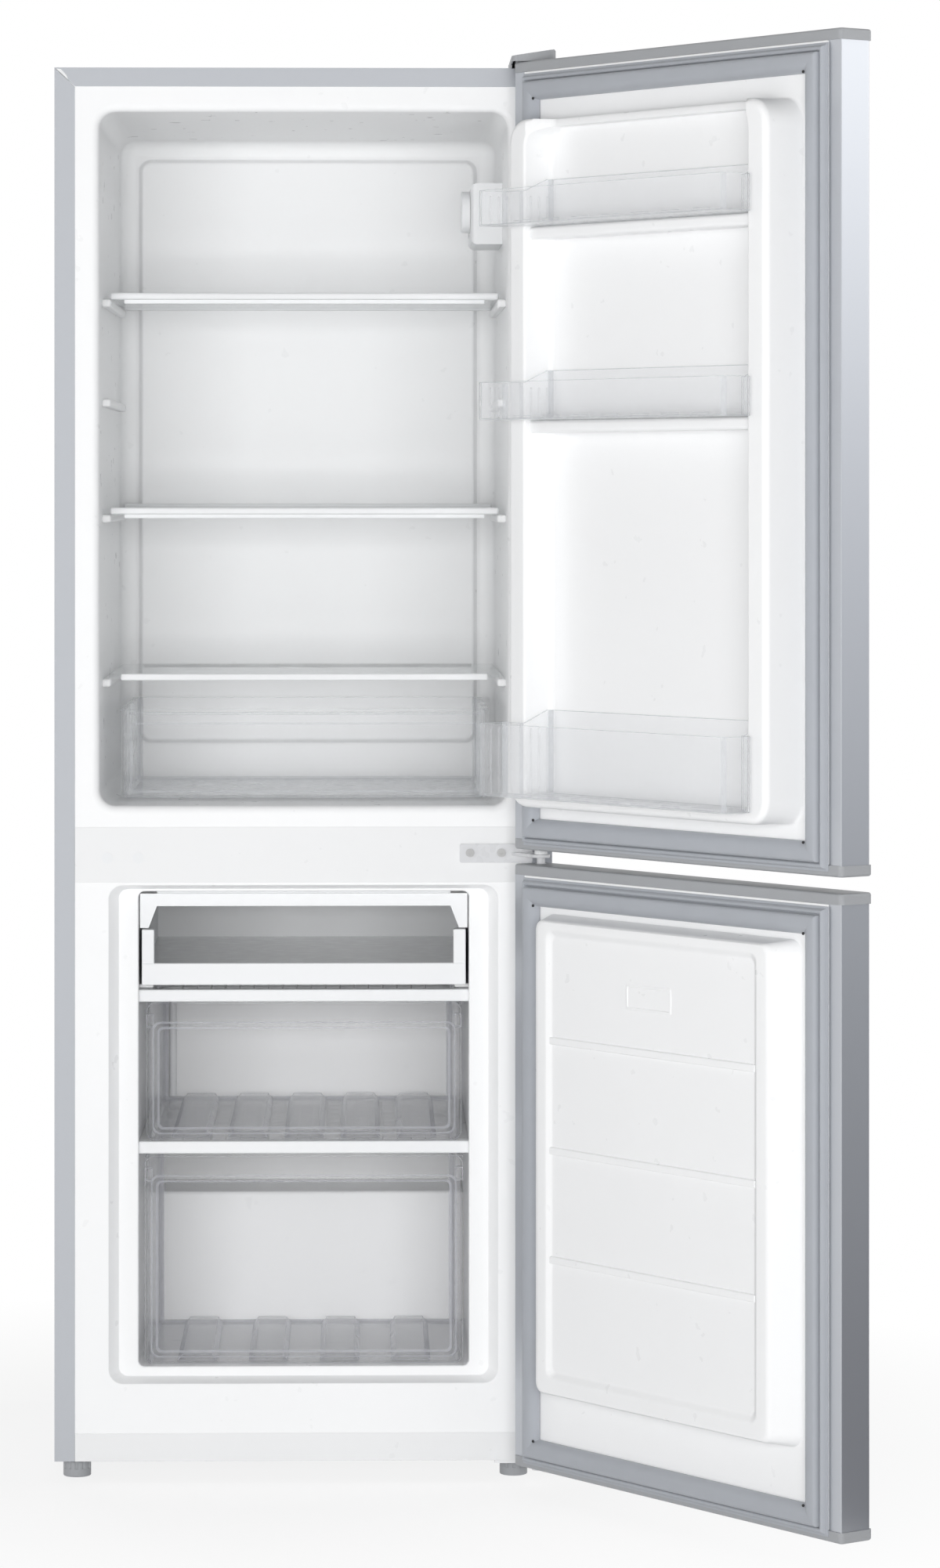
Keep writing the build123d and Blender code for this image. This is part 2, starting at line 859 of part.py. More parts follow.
with BuildPart() as condenser_clips:
    for x in (-condenser_half_width + condenser_pitch, condenser_half_width - condenser_pitch):
        for row in (1, rows - 1):
            z = condenser_bottom + row * condenser_pitch
            block(
                (x - clip_width / 2, x + clip_width / 2),
                (rear_y, tube_y + clip_hold),
                (z - clip_height / 2, z + clip_height / 2),
            )
    for row in (1, rows - 1):
        z = condenser_bottom + row * condenser_pitch
        with Locations(Plane(origin=(0, tube_y, z), z_dir=(1, 0, 0))):
            Cylinder(condenser_tube / 2, 2 * condenser_half_width, mode=Mode.SUBTRACT)
save(condenser_clips.part, "condenser_clips")

with BuildPart() as filter_drier:
    drier_x = -compressor_x
    drier_y = recess_y + drier_diameter
    drier_z = (compressor_base, compressor_base + drier_length)
    post(drier_x, drier_y, drier_z, drier_diameter)
    fillet(filter_drier.edges(), drier_diameter / 4)
    block(
        (drier_x - drier_diameter / 4, drier_x + drier_diameter / 4),
        (recess_y, drier_y),
        (drier_z[0] + drier_length / 3, drier_z[1] - drier_length / 3),
    )
save(filter_drier.part, "filter_drier")


def pipe(*points):
    """A bent refrigerant pipe through these points, in the part that is being built."""
    with BuildLine() as route:
        FilletPolyline(*points, radius=pipe_bend)
    first = Vector(*points[0])
    with BuildSketch(Plane(origin=first, z_dir=Vector(*points[1]) - first)) as section:
        Circle(pipe_diameter / 2)
    sweep(section.sketch, path=route.line)


with BuildPart() as refrigerant_pipes:
    pipe_z = drain_outlet_z + pipe_bend
    liquid_x = -condenser_half_width - pipe_side
    pipe(
        (drier_x, drier_y, drier_z[1]),
        (drier_x, drier_y, pipe_z),
        (drier_x, tube_y, pipe_z),
        (liquid_x, tube_y, pipe_z),
        (liquid_x, tube_y, points[0][2]),
        points[0],
    )
    gas_x = condenser_half_width + pipe_side
    pipe_z = compressor_base + compressor_height / 2
    pipe(
        points[-1],
        (gas_x, tube_y, points[-1][2]),
        (gas_x, tube_y, pipe_z),
        (gas_x, compressor_y, pipe_z),
        (compressor_x + compressor_half_length - 1, compressor_y, pipe_z),
    )
    add(compressor.part, mode=Mode.SUBTRACT)

# ---------------------------------------------------------------- fridge furniture
def shelf_glass(base):
    """A plain pane that lies on its guides."""
    with BuildPart() as pane:
        block(
            (-shelf_half_width, shelf_half_width),
            (depth(shelf_front + shelf_lip_width / 2), depth(shelf_rear - shelf_lip_width / 2)),
            (base, base + glass_thickness),
        )
        fillet(pane.edges().filter_by(Axis.Z), shelf_corner)
    return pane.part


def shelf_trims(base):
    """The front and rear rails that are pressed onto a pane; the rear one stops what stands there."""
    rail_base = base - (shelf_trim_height - glass_thickness) / 2
    with BuildPart() as rails:
        block(
            (-shelf_half_width, shelf_half_width),
            (depth(shelf_front), depth(shelf_front + shelf_trim_depth)),
            (rail_base, rail_base + shelf_trim_height),
        )
        fillet(rails.edges().filter_by(Axis.X), shelf_trim_round)
        lip_y = depth(shelf_front + shelf_lip_setback)
        block(
            (-shelf_lip_half_width, shelf_lip_half_width),
            (lip_y, lip_y + shelf_lip_width),
            (rail_base - shelf_lip_height, rail_base),
        )
        block(
            (-shelf_half_width, shelf_half_width),
            (depth(shelf_rear - shelf_trim_depth), depth(shelf_rear)),
            (rail_base, rail_base + shelf_rear_trim_height),
        )
        add(shelf_glass(base), mode=Mode.SUBTRACT)
    return rails.part


for name, height in shelf_heights.items():
    pane_base = height + seat_gap + (shelf_trim_height - glass_thickness) / 2
    save(shelf_glass(pane_base), f"{name}_shelf_glass")
    save(shelf_trims(pane_base), f"{name}_shelf_trims")

with BuildPart() as crisper_cover:
    block(
        (-cover_half_width, cover_half_width),
        (depth(shelf_front), depth(shelf_rear)),
        (cover_top - glass_thickness, cover_top),
    )
    front_corners = crisper_cover.edges().filter_by(Axis.Z).sort_by(Axis.Y)[:2]
    chamfer(front_corners, cover_corner_cut)
save(crisper_cover.part, "crisper_cover")


def open_box(x, y, z, wall, corner):
    """A tray or drawer body with upright walls and rounded upright corners, open on top."""
    with BuildSketch(Plane.XY.offset(z[0])) as outline:
        with Locations(((x[0] + x[1]) / 2, (y[0] + y[1]) / 2)):
            RectangleRounded(x[1] - x[0], y[1] - y[0], corner)
    extrude(outline.sketch, amount=z[1] - z[0])
    with BuildSketch(Plane.XY.offset(z[0] + wall)) as hollow:
        with Locations(((x[0] + x[1]) / 2, (y[0] + y[1]) / 2)):
            RectangleRounded(x[1] - x[0] - 2 * wall, y[1] - y[0] - 2 * wall, corner - wall)
    extrude(hollow.sketch, amount=z[1] - z[0], mode=Mode.SUBTRACT)


with BuildPart() as crisper_drawer:
    floor_rise = fridge_depth * math.tan(math.radians(fridge_draft))
    crisper_bottom = fridge_floor + floor_rise + seat_gap
    body_half_width = crisper_half_width - crisper_rim
    open_box(
        (-body_half_width, body_half_width),
        (depth(crisper_front), depth(crisper_rear)),
        (crisper_bottom, crisper_top),
        crisper_wall,
        crisper_corner,
    )
    for x in mirrored(body_half_width - crisper_wall / 2, crisper_half_width):
        block(
            x,
            (depth(crisper_front + crisper_corner), depth(crisper_rear - crisper_corner)),
            (crisper_top - crisper_wall, crisper_top),
        )
    block(
        (-crisper_half_width, crisper_half_width),
        (depth(crisper_front) - crisper_wall, depth(crisper_front) + crisper_wall / 2),
        (crisper_bottom, crisper_top),
    )
    block(
        (-crisper_half_width + crisper_front_inset, crisper_half_width - crisper_front_inset),
        (depth(crisper_front), depth(crisper_front + crisper_lip_depth)),
        (crisper_top - crisper_lip_height, crisper_top - crisper_lip_height + crisper_wall),
    )
save(crisper_drawer.part, "crisper_drawer")

# ---------------------------------------------------------------- thermostat and lamp unit
knob_y = depth(knob_depth_position)
lamp_y = depth((lamp_window_front + lamp_window_rear) / 2)
unit_middle = (thermostat_bottom + thermostat_top) / 2
window_z = (unit_middle - lamp_window_height / 2, unit_middle + lamp_window_height / 2)
shaft_bore = knob_shaft_diameter + 2 * shaft_clearance

with BuildPart() as thermostat_housing:
    block(
        (thermostat_face_x, fridge_half_width + liner_sheet),
        (depth(thermostat_front), depth(thermostat_rear)),
        (thermostat_bottom, thermostat_top),
    )
    fillet(thermostat_housing.faces().sort_by(Axis.X)[0].edges(), thermostat_round)
    block(
        (thermostat_face_x + thermostat_wall, fridge_half_width + liner_sheet),
        (depth(thermostat_front) + thermostat_wall, depth(thermostat_rear) - thermostat_wall),
        (thermostat_bottom + thermostat_wall, thermostat_top - thermostat_wall),
        Mode.SUBTRACT,
    )
    with Locations(Plane(origin=(thermostat_face_x, knob_y, knob_height), z_dir=(1, 0, 0))):
        Cylinder(knob_shaft_diameter, shaft_sleeve_length, align=(Align.CENTER, Align.CENTER, Align.MIN))
        Cylinder(shaft_bore / 2, 4 * shaft_sleeve_length, mode=Mode.SUBTRACT)
    block(
        (thermostat_face_x - 1, thermostat_face_x + thermostat_wall + 1),
        (depth(lamp_window_front), depth(lamp_window_rear)),
        window_z,
        Mode.SUBTRACT,
    )
    block(
        (thermostat_face_x + thermostat_wall, fridge_half_width + liner_sheet),
        (lamp_y - lamp_diameter / 2, lamp_y + lamp_diameter / 2),
        (thermostat_bottom + thermostat_wall, thermostat_bottom + 2 * thermostat_wall),
    )
    add(fridge_space, mode=Mode.INTERSECT)
save(thermostat_housing.part, "thermostat_housing")

with BuildPart() as thermostat_knob:
    with Locations(Plane(origin=(thermostat_face_x - seat_gap, knob_y, knob_height), z_dir=(-1, 0, 0))):
        Cylinder(
            knob_diameter / 2, knob_thickness, align=(Align.CENTER, Align.CENTER, Align.MIN)
        )
    rim = thermostat_knob.faces().sort_by(Axis.X)[0].edges()
    fillet(rim, knob_round)
    block(
        (
            thermostat_face_x - knob_thickness - 1,
            thermostat_face_x - knob_thickness + knob_mark_depth,
        ),
        (knob_y - knob_mark_width / 2, knob_y + knob_mark_width / 2),
        (knob_height + knob_diameter / 5, knob_height + knob_diameter / 2.4),
        Mode.SUBTRACT,
    )
    with Locations(Plane(origin=(thermostat_face_x - seat_gap, knob_y, knob_height), z_dir=(1, 0, 0))):
        Cylinder(
            knob_shaft_diameter / 2, knob_shaft_length, align=(Align.CENTER, Align.CENTER, Align.MIN)
        )
save(thermostat_knob.part, "thermostat_knob")

with BuildPart() as lamp_cover:
    block(
        (thermostat_face_x, thermostat_face_x + thermostat_wall),
        (depth(lamp_window_front), depth(lamp_window_rear)),
        window_z,
    )
    for i in range(1, lamp_cover_ribs + 1):
        y = depth(
            lamp_window_front + i * (lamp_window_rear - lamp_window_front) / (lamp_cover_ribs + 1)
        )
        block(
            (thermostat_face_x - 1, thermostat_face_x + lamp_cover_rib_depth),
            (y - 0.6, y + 0.6),
            (window_z[0] - 1, window_z[1] + 1),
            Mode.SUBTRACT,
        )
save(lamp_cover.part, "lamp_cover")

with BuildPart() as lamp_bulb:
    lamp_x = (thermostat_face_x + fridge_half_width) / 2
    socket_z = thermostat_bottom + 2 * thermostat_wall
    post(lamp_x, lamp_y, (socket_z, socket_z + lamp_socket_length), lamp_diameter * 0.6)
    with Locations((lamp_x, lamp_y, socket_z + lamp_socket_length + lamp_diameter * 0.4)):
        Sphere(lamp_diameter / 2)
save(lamp_bulb.part, "lamp_bulb")

# ---------------------------------------------------------------- freezer furniture
with BuildPart() as freezer_top_trim:
    trim_y = (depth(trim_front), depth(trim_front + trim_depth))
    block((-trim_bracket_outer, trim_bracket_outer), trim_y, (trim_bar_bottom, trim_bar_top))
    block(
        (-trim_bracket_inner, trim_bracket_inner),
        (trim_y[0] + trim_depth / 2, trim_y[1]),
        (trim_bar_top, freezer_ceiling),
    )
    bracket_foot = (trim_bracket_inner + trim_bracket_outer) / 2
    for side in (-1, 1):
        with BuildSketch(Plane.XZ.offset(-trim_y[1])):
            with BuildLine():
                Polyline(
                    (side * trim_bracket_inner, trim_bar_bottom),
                    (side * trim_bracket_outer, trim_bar_bottom),
                    (side * trim_bracket_outer, trim_bracket_bottom),
                    (side * bracket_foot, trim_bracket_bottom),
                    close=True,
                )
            make_face()
        extrude(amount=trim_depth)
save(freezer_top_trim.part, "freezer_top_trim")


def evaporator_shelf(bar_top):
    """A bent tube with wires laid across it, which cools and carries what stands on it."""
    middle_z = bar_top - bar_height / 2
    runs = int((evaporator_rear - evaporator_front) // evaporator_pitch)
    route = []
    for run in range(runs + 1):
        y = depth(evaporator_front + run * evaporator_pitch)
        ends = (-evaporator_half_width, evaporator_half_width)
        for x in ends if run % 2 else reversed(ends):
            route.append((x, y, middle_z))
    route.append((route[-1][0], depth(riser_depth), middle_z))
    with BuildPart() as shelf:
        with BuildLine():
            FilletPolyline(*route, radius=evaporator_pitch / 2.2)
        with BuildSketch(Plane(origin=route[0], z_dir=(-1, 0, 0))):
            Circle(tube_diameter / 2)
        sweep()
        wire_z = middle_z + (tube_diameter + wire_diameter) / 2
        wires = int(2 * (evaporator_half_width - evaporator_pitch / 2) // wire_pitch)
        start = bar_front + bar_depth
        for i in range(wires + 1):
            with Locations(
                Plane(
                    origin=((i - wires / 2) * wire_pitch, depth(start), wire_z),
                    z_dir=(0, 1, 0),
                )
            ):
                Cylinder(
                    wire_diameter / 2,
                    evaporator_rear - start + tube_diameter,
                    align=(Align.CENTER, Align.CENTER, Align.MIN),
                )
    return shelf.part, route[-1]


riser_ends = []
for name, top in bar_tops.items():
    shelf, end = evaporator_shelf(top)
    riser_ends.append(end)
    save(shelf, f"{name}_evaporator_shelf")

with BuildPart() as evaporator_riser:
    with BuildLine():
        Line(riser_ends[0], riser_ends[1])
    with BuildSketch(Plane(origin=riser_ends[0], z_dir=(0, 0, -1))):
        Circle(tube_diameter / 2)
    sweep()
    for end in riser_ends:
        with Locations(end):
            Sphere(tube_diameter / 2)
    for name, top in bar_tops.items():
        middle_z = top - bar_height / 2
        with Locations(Plane(origin=(*riser_ends[0][:2], middle_z), z_dir=(0, -1, 0))):
            Cylinder(
                tube_diameter / 2,
                2 * tube_diameter,
                align=(Align.CENTER, Align.CENTER, Align.MIN),
                mode=Mode.SUBTRACT,
            )
    add(refrigerant_pipes.part)
save(evaporator_riser.part, "refrigerant_pipes")

with BuildPart() as shelf_bars:
    for top in bar_tops.values():
        block(
            (-freezer_half_width, freezer_half_width),
            (depth(bar_front), depth(bar_front + bar_depth)),
            (top - bar_height, top),
        )
    fillet(shelf_bars.faces().sort_by(Axis.Y)[0:2].edges().filter_by(Axis.X), bar_round)
save(shelf_bars.part, "shelf_bars")

with BuildPart() as freezer_tray:
    tray_y = (depth(tray_front), depth(upper_drawer_rear))
    block(
        (-tray_half_width, tray_half_width),
        tray_y,
        (tray_bottom, tray_top),
    )
    block(
        (-tray_half_width + tray_wall, tray_half_width - tray_wall),
        (tray_y[0] - 1, tray_y[1] - tray_wall),
        (tray_floor_top, tray_top + 1),
        Mode.SUBTRACT,
    )
    block(
        (-tray_half_width + tray_wall, tray_half_width - tray_wall),
        (tray_y[0] + tray_wall, tray_y[1] - tray_wall),
        (tray_bottom - 1, tray_floor_top - tray_wall),
        Mode.SUBTRACT,
    )
    block(
        (-tray_half_width + tray_wall, tray_half_width - tray_wall),
        (tray_y[0], tray_y[0] + tray_wall),
        (tray_floor_top, tray_bar_top),
    )
    for x in mirrored(tray_half_width - tray_post_width, tray_half_width):
        block(x, (tray_y[0], tray_y[0] + tray_post_depth), (tray_floor_top, tray_top))
    ribs = 4
    for i in range(1, ribs + 1):
        y = tray_y[0] + i * (upper_drawer_rear - tray_front) / (ribs + 1)
        block(
            (-tray_half_width + tray_wall, tray_half_width - tray_wall),
            (y, y + tray_wall),
            (tray_floor_top - 3 * tray_wall, tray_floor_top - tray_wall),
        )
save(freezer_tray.part, "freezer_tray")


def freezer_drawer(half, bottom, top, rear):
    """A clear drawer: a body with a rim, and a thicker front with a stepped frame."""
    with BuildPart() as drawer:
        y = (depth(drawer_front), depth(rear))
        open_box((-half + drawer_rim, half - drawer_rim), y, (bottom, top), drawer_wall, drawer_corner)
        for x in mirrored(half - drawer_rim - drawer_wall / 2, half):
            block(x, (y[0] + drawer_corner, y[1] - drawer_corner), (top - drawer_wall, top))
        with BuildSketch(Plane.XZ.offset(-y[0] - drawer_wall / 2)) as face:
            with Locations((0, (bottom + top) / 2)):
                RectangleRounded(2 * half, top - bottom, drawer_corner)
        extrude(amount=drawer_wall * 1.5)
        with BuildSketch(Plane.XZ.offset(-y[0] + drawer_wall)) as frame:
            with Locations((0, (bottom + top) / 2 - drawer_frame_margin)):
                RectangleRounded(
                    2 * (half - drawer_frame_margin),
                    top - bottom - 4 * drawer_frame_margin,
                    drawer_corner - drawer_frame_step,
                )
                RectangleRounded(
                    2 * (half - 2 * drawer_frame_margin),
                    top - bottom - 6 * drawer_frame_margin,
                    drawer_corner - 2 * drawer_frame_step,
                    mode=Mode.SUBTRACT,
                )
        extrude(amount=drawer_frame_step)
    return drawer.part


save(
    freezer_drawer(upper_drawer_half_width, upper_drawer_bottom, upper_drawer_top, upper_drawer_rear),
    "upper_freezer_drawer",
)
save(
    freezer_drawer(
        lower_drawer_half_width, freezer_floor + seat_gap, lower_drawer_top, lower_drawer_rear
    ),
    "lower_freezer_drawer",
)

# ---------------------------------------------------------------- doors
def door_skin(bottom, top):
    """The folded steel pan of a door, open above, below and behind."""
    middle_y = (door_front_y + door_rear_y) / 2
    with BuildPart() as skin:
        with BuildSketch(Plane.XY.offset(bottom + cap_height)):
            with Locations((0, middle_y)):
                outline = Rectangle(cabinet_width, door_thickness)
            corners = outline.vertices().sort_by(Axis.Y)
            fillet(corners[:2], door_front_round)
            offset(amount=-door_skin_sheet, kind=Kind.INTERSECTION, mode=Mode.SUBTRACT)
            with Locations((0, door_rear_y)):
                Rectangle(cabinet_width - 2 * door_return, 4 * door_skin_sheet, mode=Mode.SUBTRACT)
        extrude(amount=top - bottom - 2 * cap_height)
    return skin.part


def door_bush_holes(bottom, top):
    """The bores for the hinge bushes at the ends of a door."""
    for z in ((top - cap_socket, top + 1), (bottom - 1, bottom + cap_socket)):
        post(pin_x, pin_y, z, pin_diameter + 2 * bush_wall, Mode.SUBTRACT)


def door_caps(bottom, top):
    """The plastic caps that close a door's skin above and below, with sockets for the bushes."""
    middle_y = (door_front_y + door_rear_y) / 2
    with BuildPart() as caps:
        for low, high, outer in ((bottom, bottom + cap_height, -1), (top - cap_height, top, 1)):
            with BuildSketch(Plane.XY.offset(low)) as outline:
                with Locations((0, middle_y)):
                    RectangleRounded(
                        cabinet_width + 2 * cap_overhang,
                        door_thickness + 2 * cap_overhang,
                        door_front_round,
                    )
            extrude(outline.sketch, amount=cap_height)
            rim = caps.faces().sort_by(Axis.Z)[0 if outer < 0 else -1].outer_wire().edges()
            fillet(rim, cap_round)
        post(pin_x, pin_y, (top - cap_socket, top - cap_height), socket_diameter)
        post(pin_x, pin_y, (bottom + cap_height, bottom + cap_socket), socket_diameter)
        door_bush_holes(bottom, top)
    return caps.part


def door_bushes(bottom, top, rest_z):
    """The bushes in which a door turns on its pins; the lower one's collar carries the door."""
    bore = pin_diameter + 2 * pin_clearance
    with BuildPart() as bushes:
        post(pin_x, pin_y, (top - cap_socket, top), pin_diameter + 2 * bush_wall)
        post(pin_x, pin_y, (bottom, bottom + cap_socket), pin_diameter + 2 * bush_wall)
        post(pin_x, pin_y, (rest_z, bottom), collar_diameter)
        post(pin_x, pin_y, (rest_z, top), bore, Mode.SUBTRACT)
    return bushes.part


def door_gasket(bottom, top):
    """The magnetic seal: a mitred ring of soft profile between the liner's edge and the frame."""
    low, high = bottom + gasket_inner_bottom, top - gasket_inner_top
    reach = half_width - gasket_inner
    seal = front_y - gasket_squeeze
    base = door_rear_y + door_liner_sheet
    width = gasket_inner - gasket_outer
    section = (
        (0, base),
        (0, base + gasket_lip),
        (width / 3, seal - gasket_shoulder),
        (width / 2, seal),
        (width - gasket_shoulder, seal),
        (width, seal - gasket_shoulder),
        (width - gasket_shoulder, base),
    )
    with BuildPart() as ring:
        with BuildLine() as path:
            Polyline(
                (reach, front_y, (low + high) / 2),
                (reach, front_y, high),
                (-reach, front_y, high),
                (-reach, front_y, low),
                (reach, front_y, low),
                close=True,
            )
        with BuildSketch(Plane.XY.offset((low + high) / 2)) as profile:
            with BuildLine():
                Polyline(*[(reach + w, y) for w, y in section], close=True)
            make_face()
        sweep(profile.sketch, path=path.line, transition=Transition.RIGHT)
    return ring.part


def upper_form(inset):
    """The upper door liner's inner side: two upright walls, ledges for the bins and a low top."""
    base_y = door_rear_y + door_liner_sheet - inset
    half = dyke_half_width - inset
    low, high = dyke_bottom + inset, dyke_top - inset
    crest_y = depth(dyke_reach) - inset
    with BuildPart() as form:
        with BuildSketch(facing_wall(base_y)):
            with Locations((0, (low + high) / 2)):
                RectangleRounded(2 * half, high - low, dyke_corner - inset)
        extrude(amount=crest_y - base_y)
        crest = form.faces().sort_by(Axis.Y)[-1]
        fillet(crest.outer_wire().edges(), dyke_round - inset)
        low, high = recess_bottom - inset, recess_top_edge + inset
        with BuildSketch(facing_wall(depth(recess_floor) - inset)):
            with Locations((0, (low + high) / 2)):
                RectangleRounded(
                    2 * (recess_half_width + inset), high - low, bin_corner + bin_side_gap + inset
                )
        extrude(amount=2 * dyke_reach, mode=Mode.SUBTRACT)
        block(
            (-recess_half_width - inset, recess_half_width + inset),
            (depth(recess_top_reach) - inset, depth(2 * dyke_reach)),
            (recess_top_edge - dyke_corner, dyke_top + dyke_corner),
            Mode.SUBTRACT,
        )
        for floor in bin_floors.values():
            if floor > recess_bottom + ledge_thickness:
                block(
                    (-recess_half_width - 1, recess_half_width + 1),
                    (base_y, depth(ledge_reach) - inset),
                    (floor - seat_gap - ledge_thickness + inset, floor - seat_gap - inset),
                )
        block(
            (-half_width + door_liner_margin, half_width - door_liner_margin),
            (door_front_y, base_y),
            (upper_door_bottom, upper_door_top),
        )
    return form.part


def lower_form(inset):
    """The lower door liner's inner side: a raised panel with a sunk field that low ribs divide."""
    base_y = door_rear_y + door_liner_sheet - inset
    half = panel_half_width - inset
    low, high = panel_bottom + inset, panel_top - inset
    face_y = depth(panel_reach) - inset
    field_y = face_y - field_depth
    with BuildPart() as form:
        for y, spread in ((base_y, panel_foot_spread), (face_y, 0)):
            with BuildSketch(facing_wall(y)):
                with Locations((0, (low + high) / 2)):
                    RectangleRounded(
                        2 * (half + spread), high - low + spread / 2, panel_corner + spread / 4
                    )
        loft()
        with BuildSketch(facing_wall(field_y)):
            with Locations((0, (field_top + field_bottom) / 2)):
                RectangleRounded(
                    2 * (field_half_width + inset), field_top - field_bottom + 2 * inset, field_corner
                )
        extrude(amount=2 * field_depth, mode=Mode.SUBTRACT)
        for z in rib_heights:
            block(
                (-field_half_width - 1, field_half_width + 1),
                (field_y - 1, field_y + rib_rise),
                (z - rib_width / 2 + inset, z + rib_width / 2 - inset),
            )
        block(
            (-half_width + door_liner_margin, half_width - door_liner_margin),
            (door_front_y, base_y),
            (lower_door_bottom, lower_door_top),
        )
    return form.part


def door_liner(form, bottom, top):
    """The formed sheet between the outer and the inner side of a form."""
    with BuildPart() as liner:
        add(form(0))
        add(form(door_liner_sheet), mode=Mode.SUBTRACT)
        block(
            (-half_width, half_width),
            (door_front_y - 1, front_y + 4 * dyke_reach),
            (bottom + cap_height, top - cap_height),
            Mode.INTERSECT,
        )
    return liner.part


def door_insulation(form, bottom, top):
    """The foam that fills a door between its skin, its caps and its liner."""
    with BuildPart() as foam:
        with BuildSketch(Plane.XY.offset(bottom + cap_height)) as core:
            with Locations((0, (door_front_y + door_rear_y) / 2)):
                outline = Rectangle(
                    cabinet_width - 2 * door_skin_sheet, door_thickness - 2 * door_skin_sheet
                )
            fillet(outline.vertices().sort_by(Axis.Y)[:2], door_front_round - door_skin_sheet)
        extrude(amount=top - bottom - 2 * cap_height)
        add(form(door_liner_sheet))
        block(
            (-half_width, half_width),
            (door_front_y, front_y + 4 * dyke_reach),
            (bottom + cap_height, top - cap_height),
            Mode.INTERSECT,
        )
        add(door_skin(bottom, top), mode=Mode.SUBTRACT)
        add(door_caps(bottom, top), mode=Mode.SUBTRACT)
        door_bush_holes(bottom, top)
    return foam.part


arm_top = mid_hinge_arm_z + hinge_plate_thickness / 2
doors = {
    "upper": (upper_form, upper_door_bottom, upper_door_top, arm_top + seat_gap),
    "lower": (lower_form, lower_door_bottom, lower_door_top, cabinet_bottom + seat_gap),
}
for name, (form, bottom, top, rest_z) in doors.items():
    hang(door_skin(bottom, top), f"{name}_door_skin")
    hang(door_caps(bottom, top), f"{name}_door_caps")
    hang(door_bushes(bottom, top, rest_z), f"{name}_door_bushes")
    hang(door_gasket(bottom, top), f"{name}_door_gasket")
    hang(door_liner(form, bottom, top), f"{name}_door_liner")
    hang(door_insulation(form, bottom, top), f"{name}_door_insulation")


bin_back_y = depth(recess_floor + bin_side_gap)


def bin_space(shrink, floor, top):
    """The space a bin fills, or its inside: a back part between the liner's walls, a wide front."""
    back_y = (bin_back_y + shrink, depth(bin_reach) - bin_corner)
    front_y_range = (depth(bin_reach - bin_front_depth) + shrink, depth(bin_reach) - shrink)
    back_half = recess_half_width - bin_side_gap - shrink
    with BuildPart() as space:
        with BuildSketch(Plane.XY.offset(floor + shrink)) as plan:
            with Locations((0, (back_y[0] + back_y[1]) / 2)):
                Rectangle(2 * back_half, back_y[1] - back_y[0])
        extrude(plan.sketch, amount=top - floor - shrink)
        fillet(space.edges().filter_by(Axis.Y).group_by(Axis.Z)[0], bin_corner - shrink)
        with BuildSketch(Plane.XY.offset(floor + shrink)) as plan:
            with Locations((bin_middle_x, (front_y_range[0] + front_y_range[1]) / 2)):
                RectangleRounded(
                    bin_right - bin_left - 2 * shrink,
                    front_y_range[1] - front_y_range[0],
                    bin_corner - shrink,
                )
        extrude(plan.sketch, amount=top - floor - shrink)
    return space.part


def door_bin(floor, rim):
    """A clear bin, open above, whose back and side walls stand higher than its front."""
    with BuildPart() as tray:
        add(bin_space(0, floor, rim + bin_back_rise))
        add(bin_space(bin_wall, floor, rim + 2 * bin_back_rise), mode=Mode.SUBTRACT)
        block(
            (-half_width, half_width),
            (depth(bin_reach - bin_front_depth), depth(bin_reach) + 1),
            (rim, rim + 2 * bin_back_rise),
            Mode.SUBTRACT,
        )
    return tray.part


for name, floor in bin_floors.items():
    hang(door_bin(floor, floor + bin_heights[name]), f"{name}_door_bin")

# ---------------------------------------------------------------- hinges
top_hinge_z = cabinet_top + top_hinge_rise
screw_bore = screw_shank_diameter
hinge_screw_y = [depth(setback) for setback in hinge_screw_setbacks]
hinge_right = pin_x + hinge_arm_half_width
hinge_left = hinge_right - top_hinge_width
top_screw_x = (hinge_left + hinge_right) / 2

with BuildPart() as top_hinge:
    plate_z = (top_hinge_z, top_hinge_z + hinge_plate_thickness)
    block((hinge_left, hinge_right), (pin_y, depth(top_hinge_rear)), plate_z)
    post(pin_x, pin_y, plate_z, 2 * hinge_arm_half_width)
    block(
        (hinge_left, hinge_right),
        (depth(2 * cap_round), depth(top_hinge_rear)),
        (cabinet_top, top_hinge_z),
    )
    post(pin_x, pin_y, (upper_door_top - pin_reach, top_hinge_z), pin_diameter)
    for y in hinge_screw_y:
        post(top_screw_x, y, (cabinet_top, plate_z[1]), screw_bore, Mode.SUBTRACT)
save(top_hinge.part, "top_hinge")


def cover_outline(shrink):
    """The top hinge cover's section: a wedge that rises away from the middle of the cabinet."""
    with BuildLine() as outline:
        Polyline(
            (top_cover_left + shrink, cabinet_top - shrink),
            (top_cover_right - shrink, cabinet_top - shrink),
            (top_cover_right - shrink, top_cover_top - top_cover_wall - shrink),
            (top_cover_right - top_cover_wall - shrink, top_cover_top - shrink),
            (top_cover_left + shrink, top_cover_top - top_cover_slope - shrink),
            close=True,
        )
    make_face(outline.edges())


with BuildPart() as top_hinge_cover:
    cover_y = (pin_y - top_cover_front, depth(top_cover_rear))
    with BuildSketch(Plane.XZ.offset(-cover_y[1])):
        cover_outline(0)
    extrude(amount=cover_y[1] - cover_y[0])
    fillet(top_hinge_cover.edges().filter_by(Axis.Z).sort_by(Axis.Y)[:2], top_cover_slope)
    with BuildSketch(Plane.XZ.offset(-cover_y[1] + top_cover_wall)):
        cover_outline(top_cover_wall)
    extrude(
        amount=cover_y[1] - cover_y[0] - top_cover_front + hinge_arm_half_width,
        mode=Mode.SUBTRACT,
    )
    block(
        (top_cover_left - 1, top_cover_right + 1),
        (cover_y[0] - 1, front_y + edge_round),
        (cabinet_top - 1, upper_door_top + cover_door_gap),
        Mode.SUBTRACT,
    )
save(top_hinge_cover.part, "top_hinge_cover")

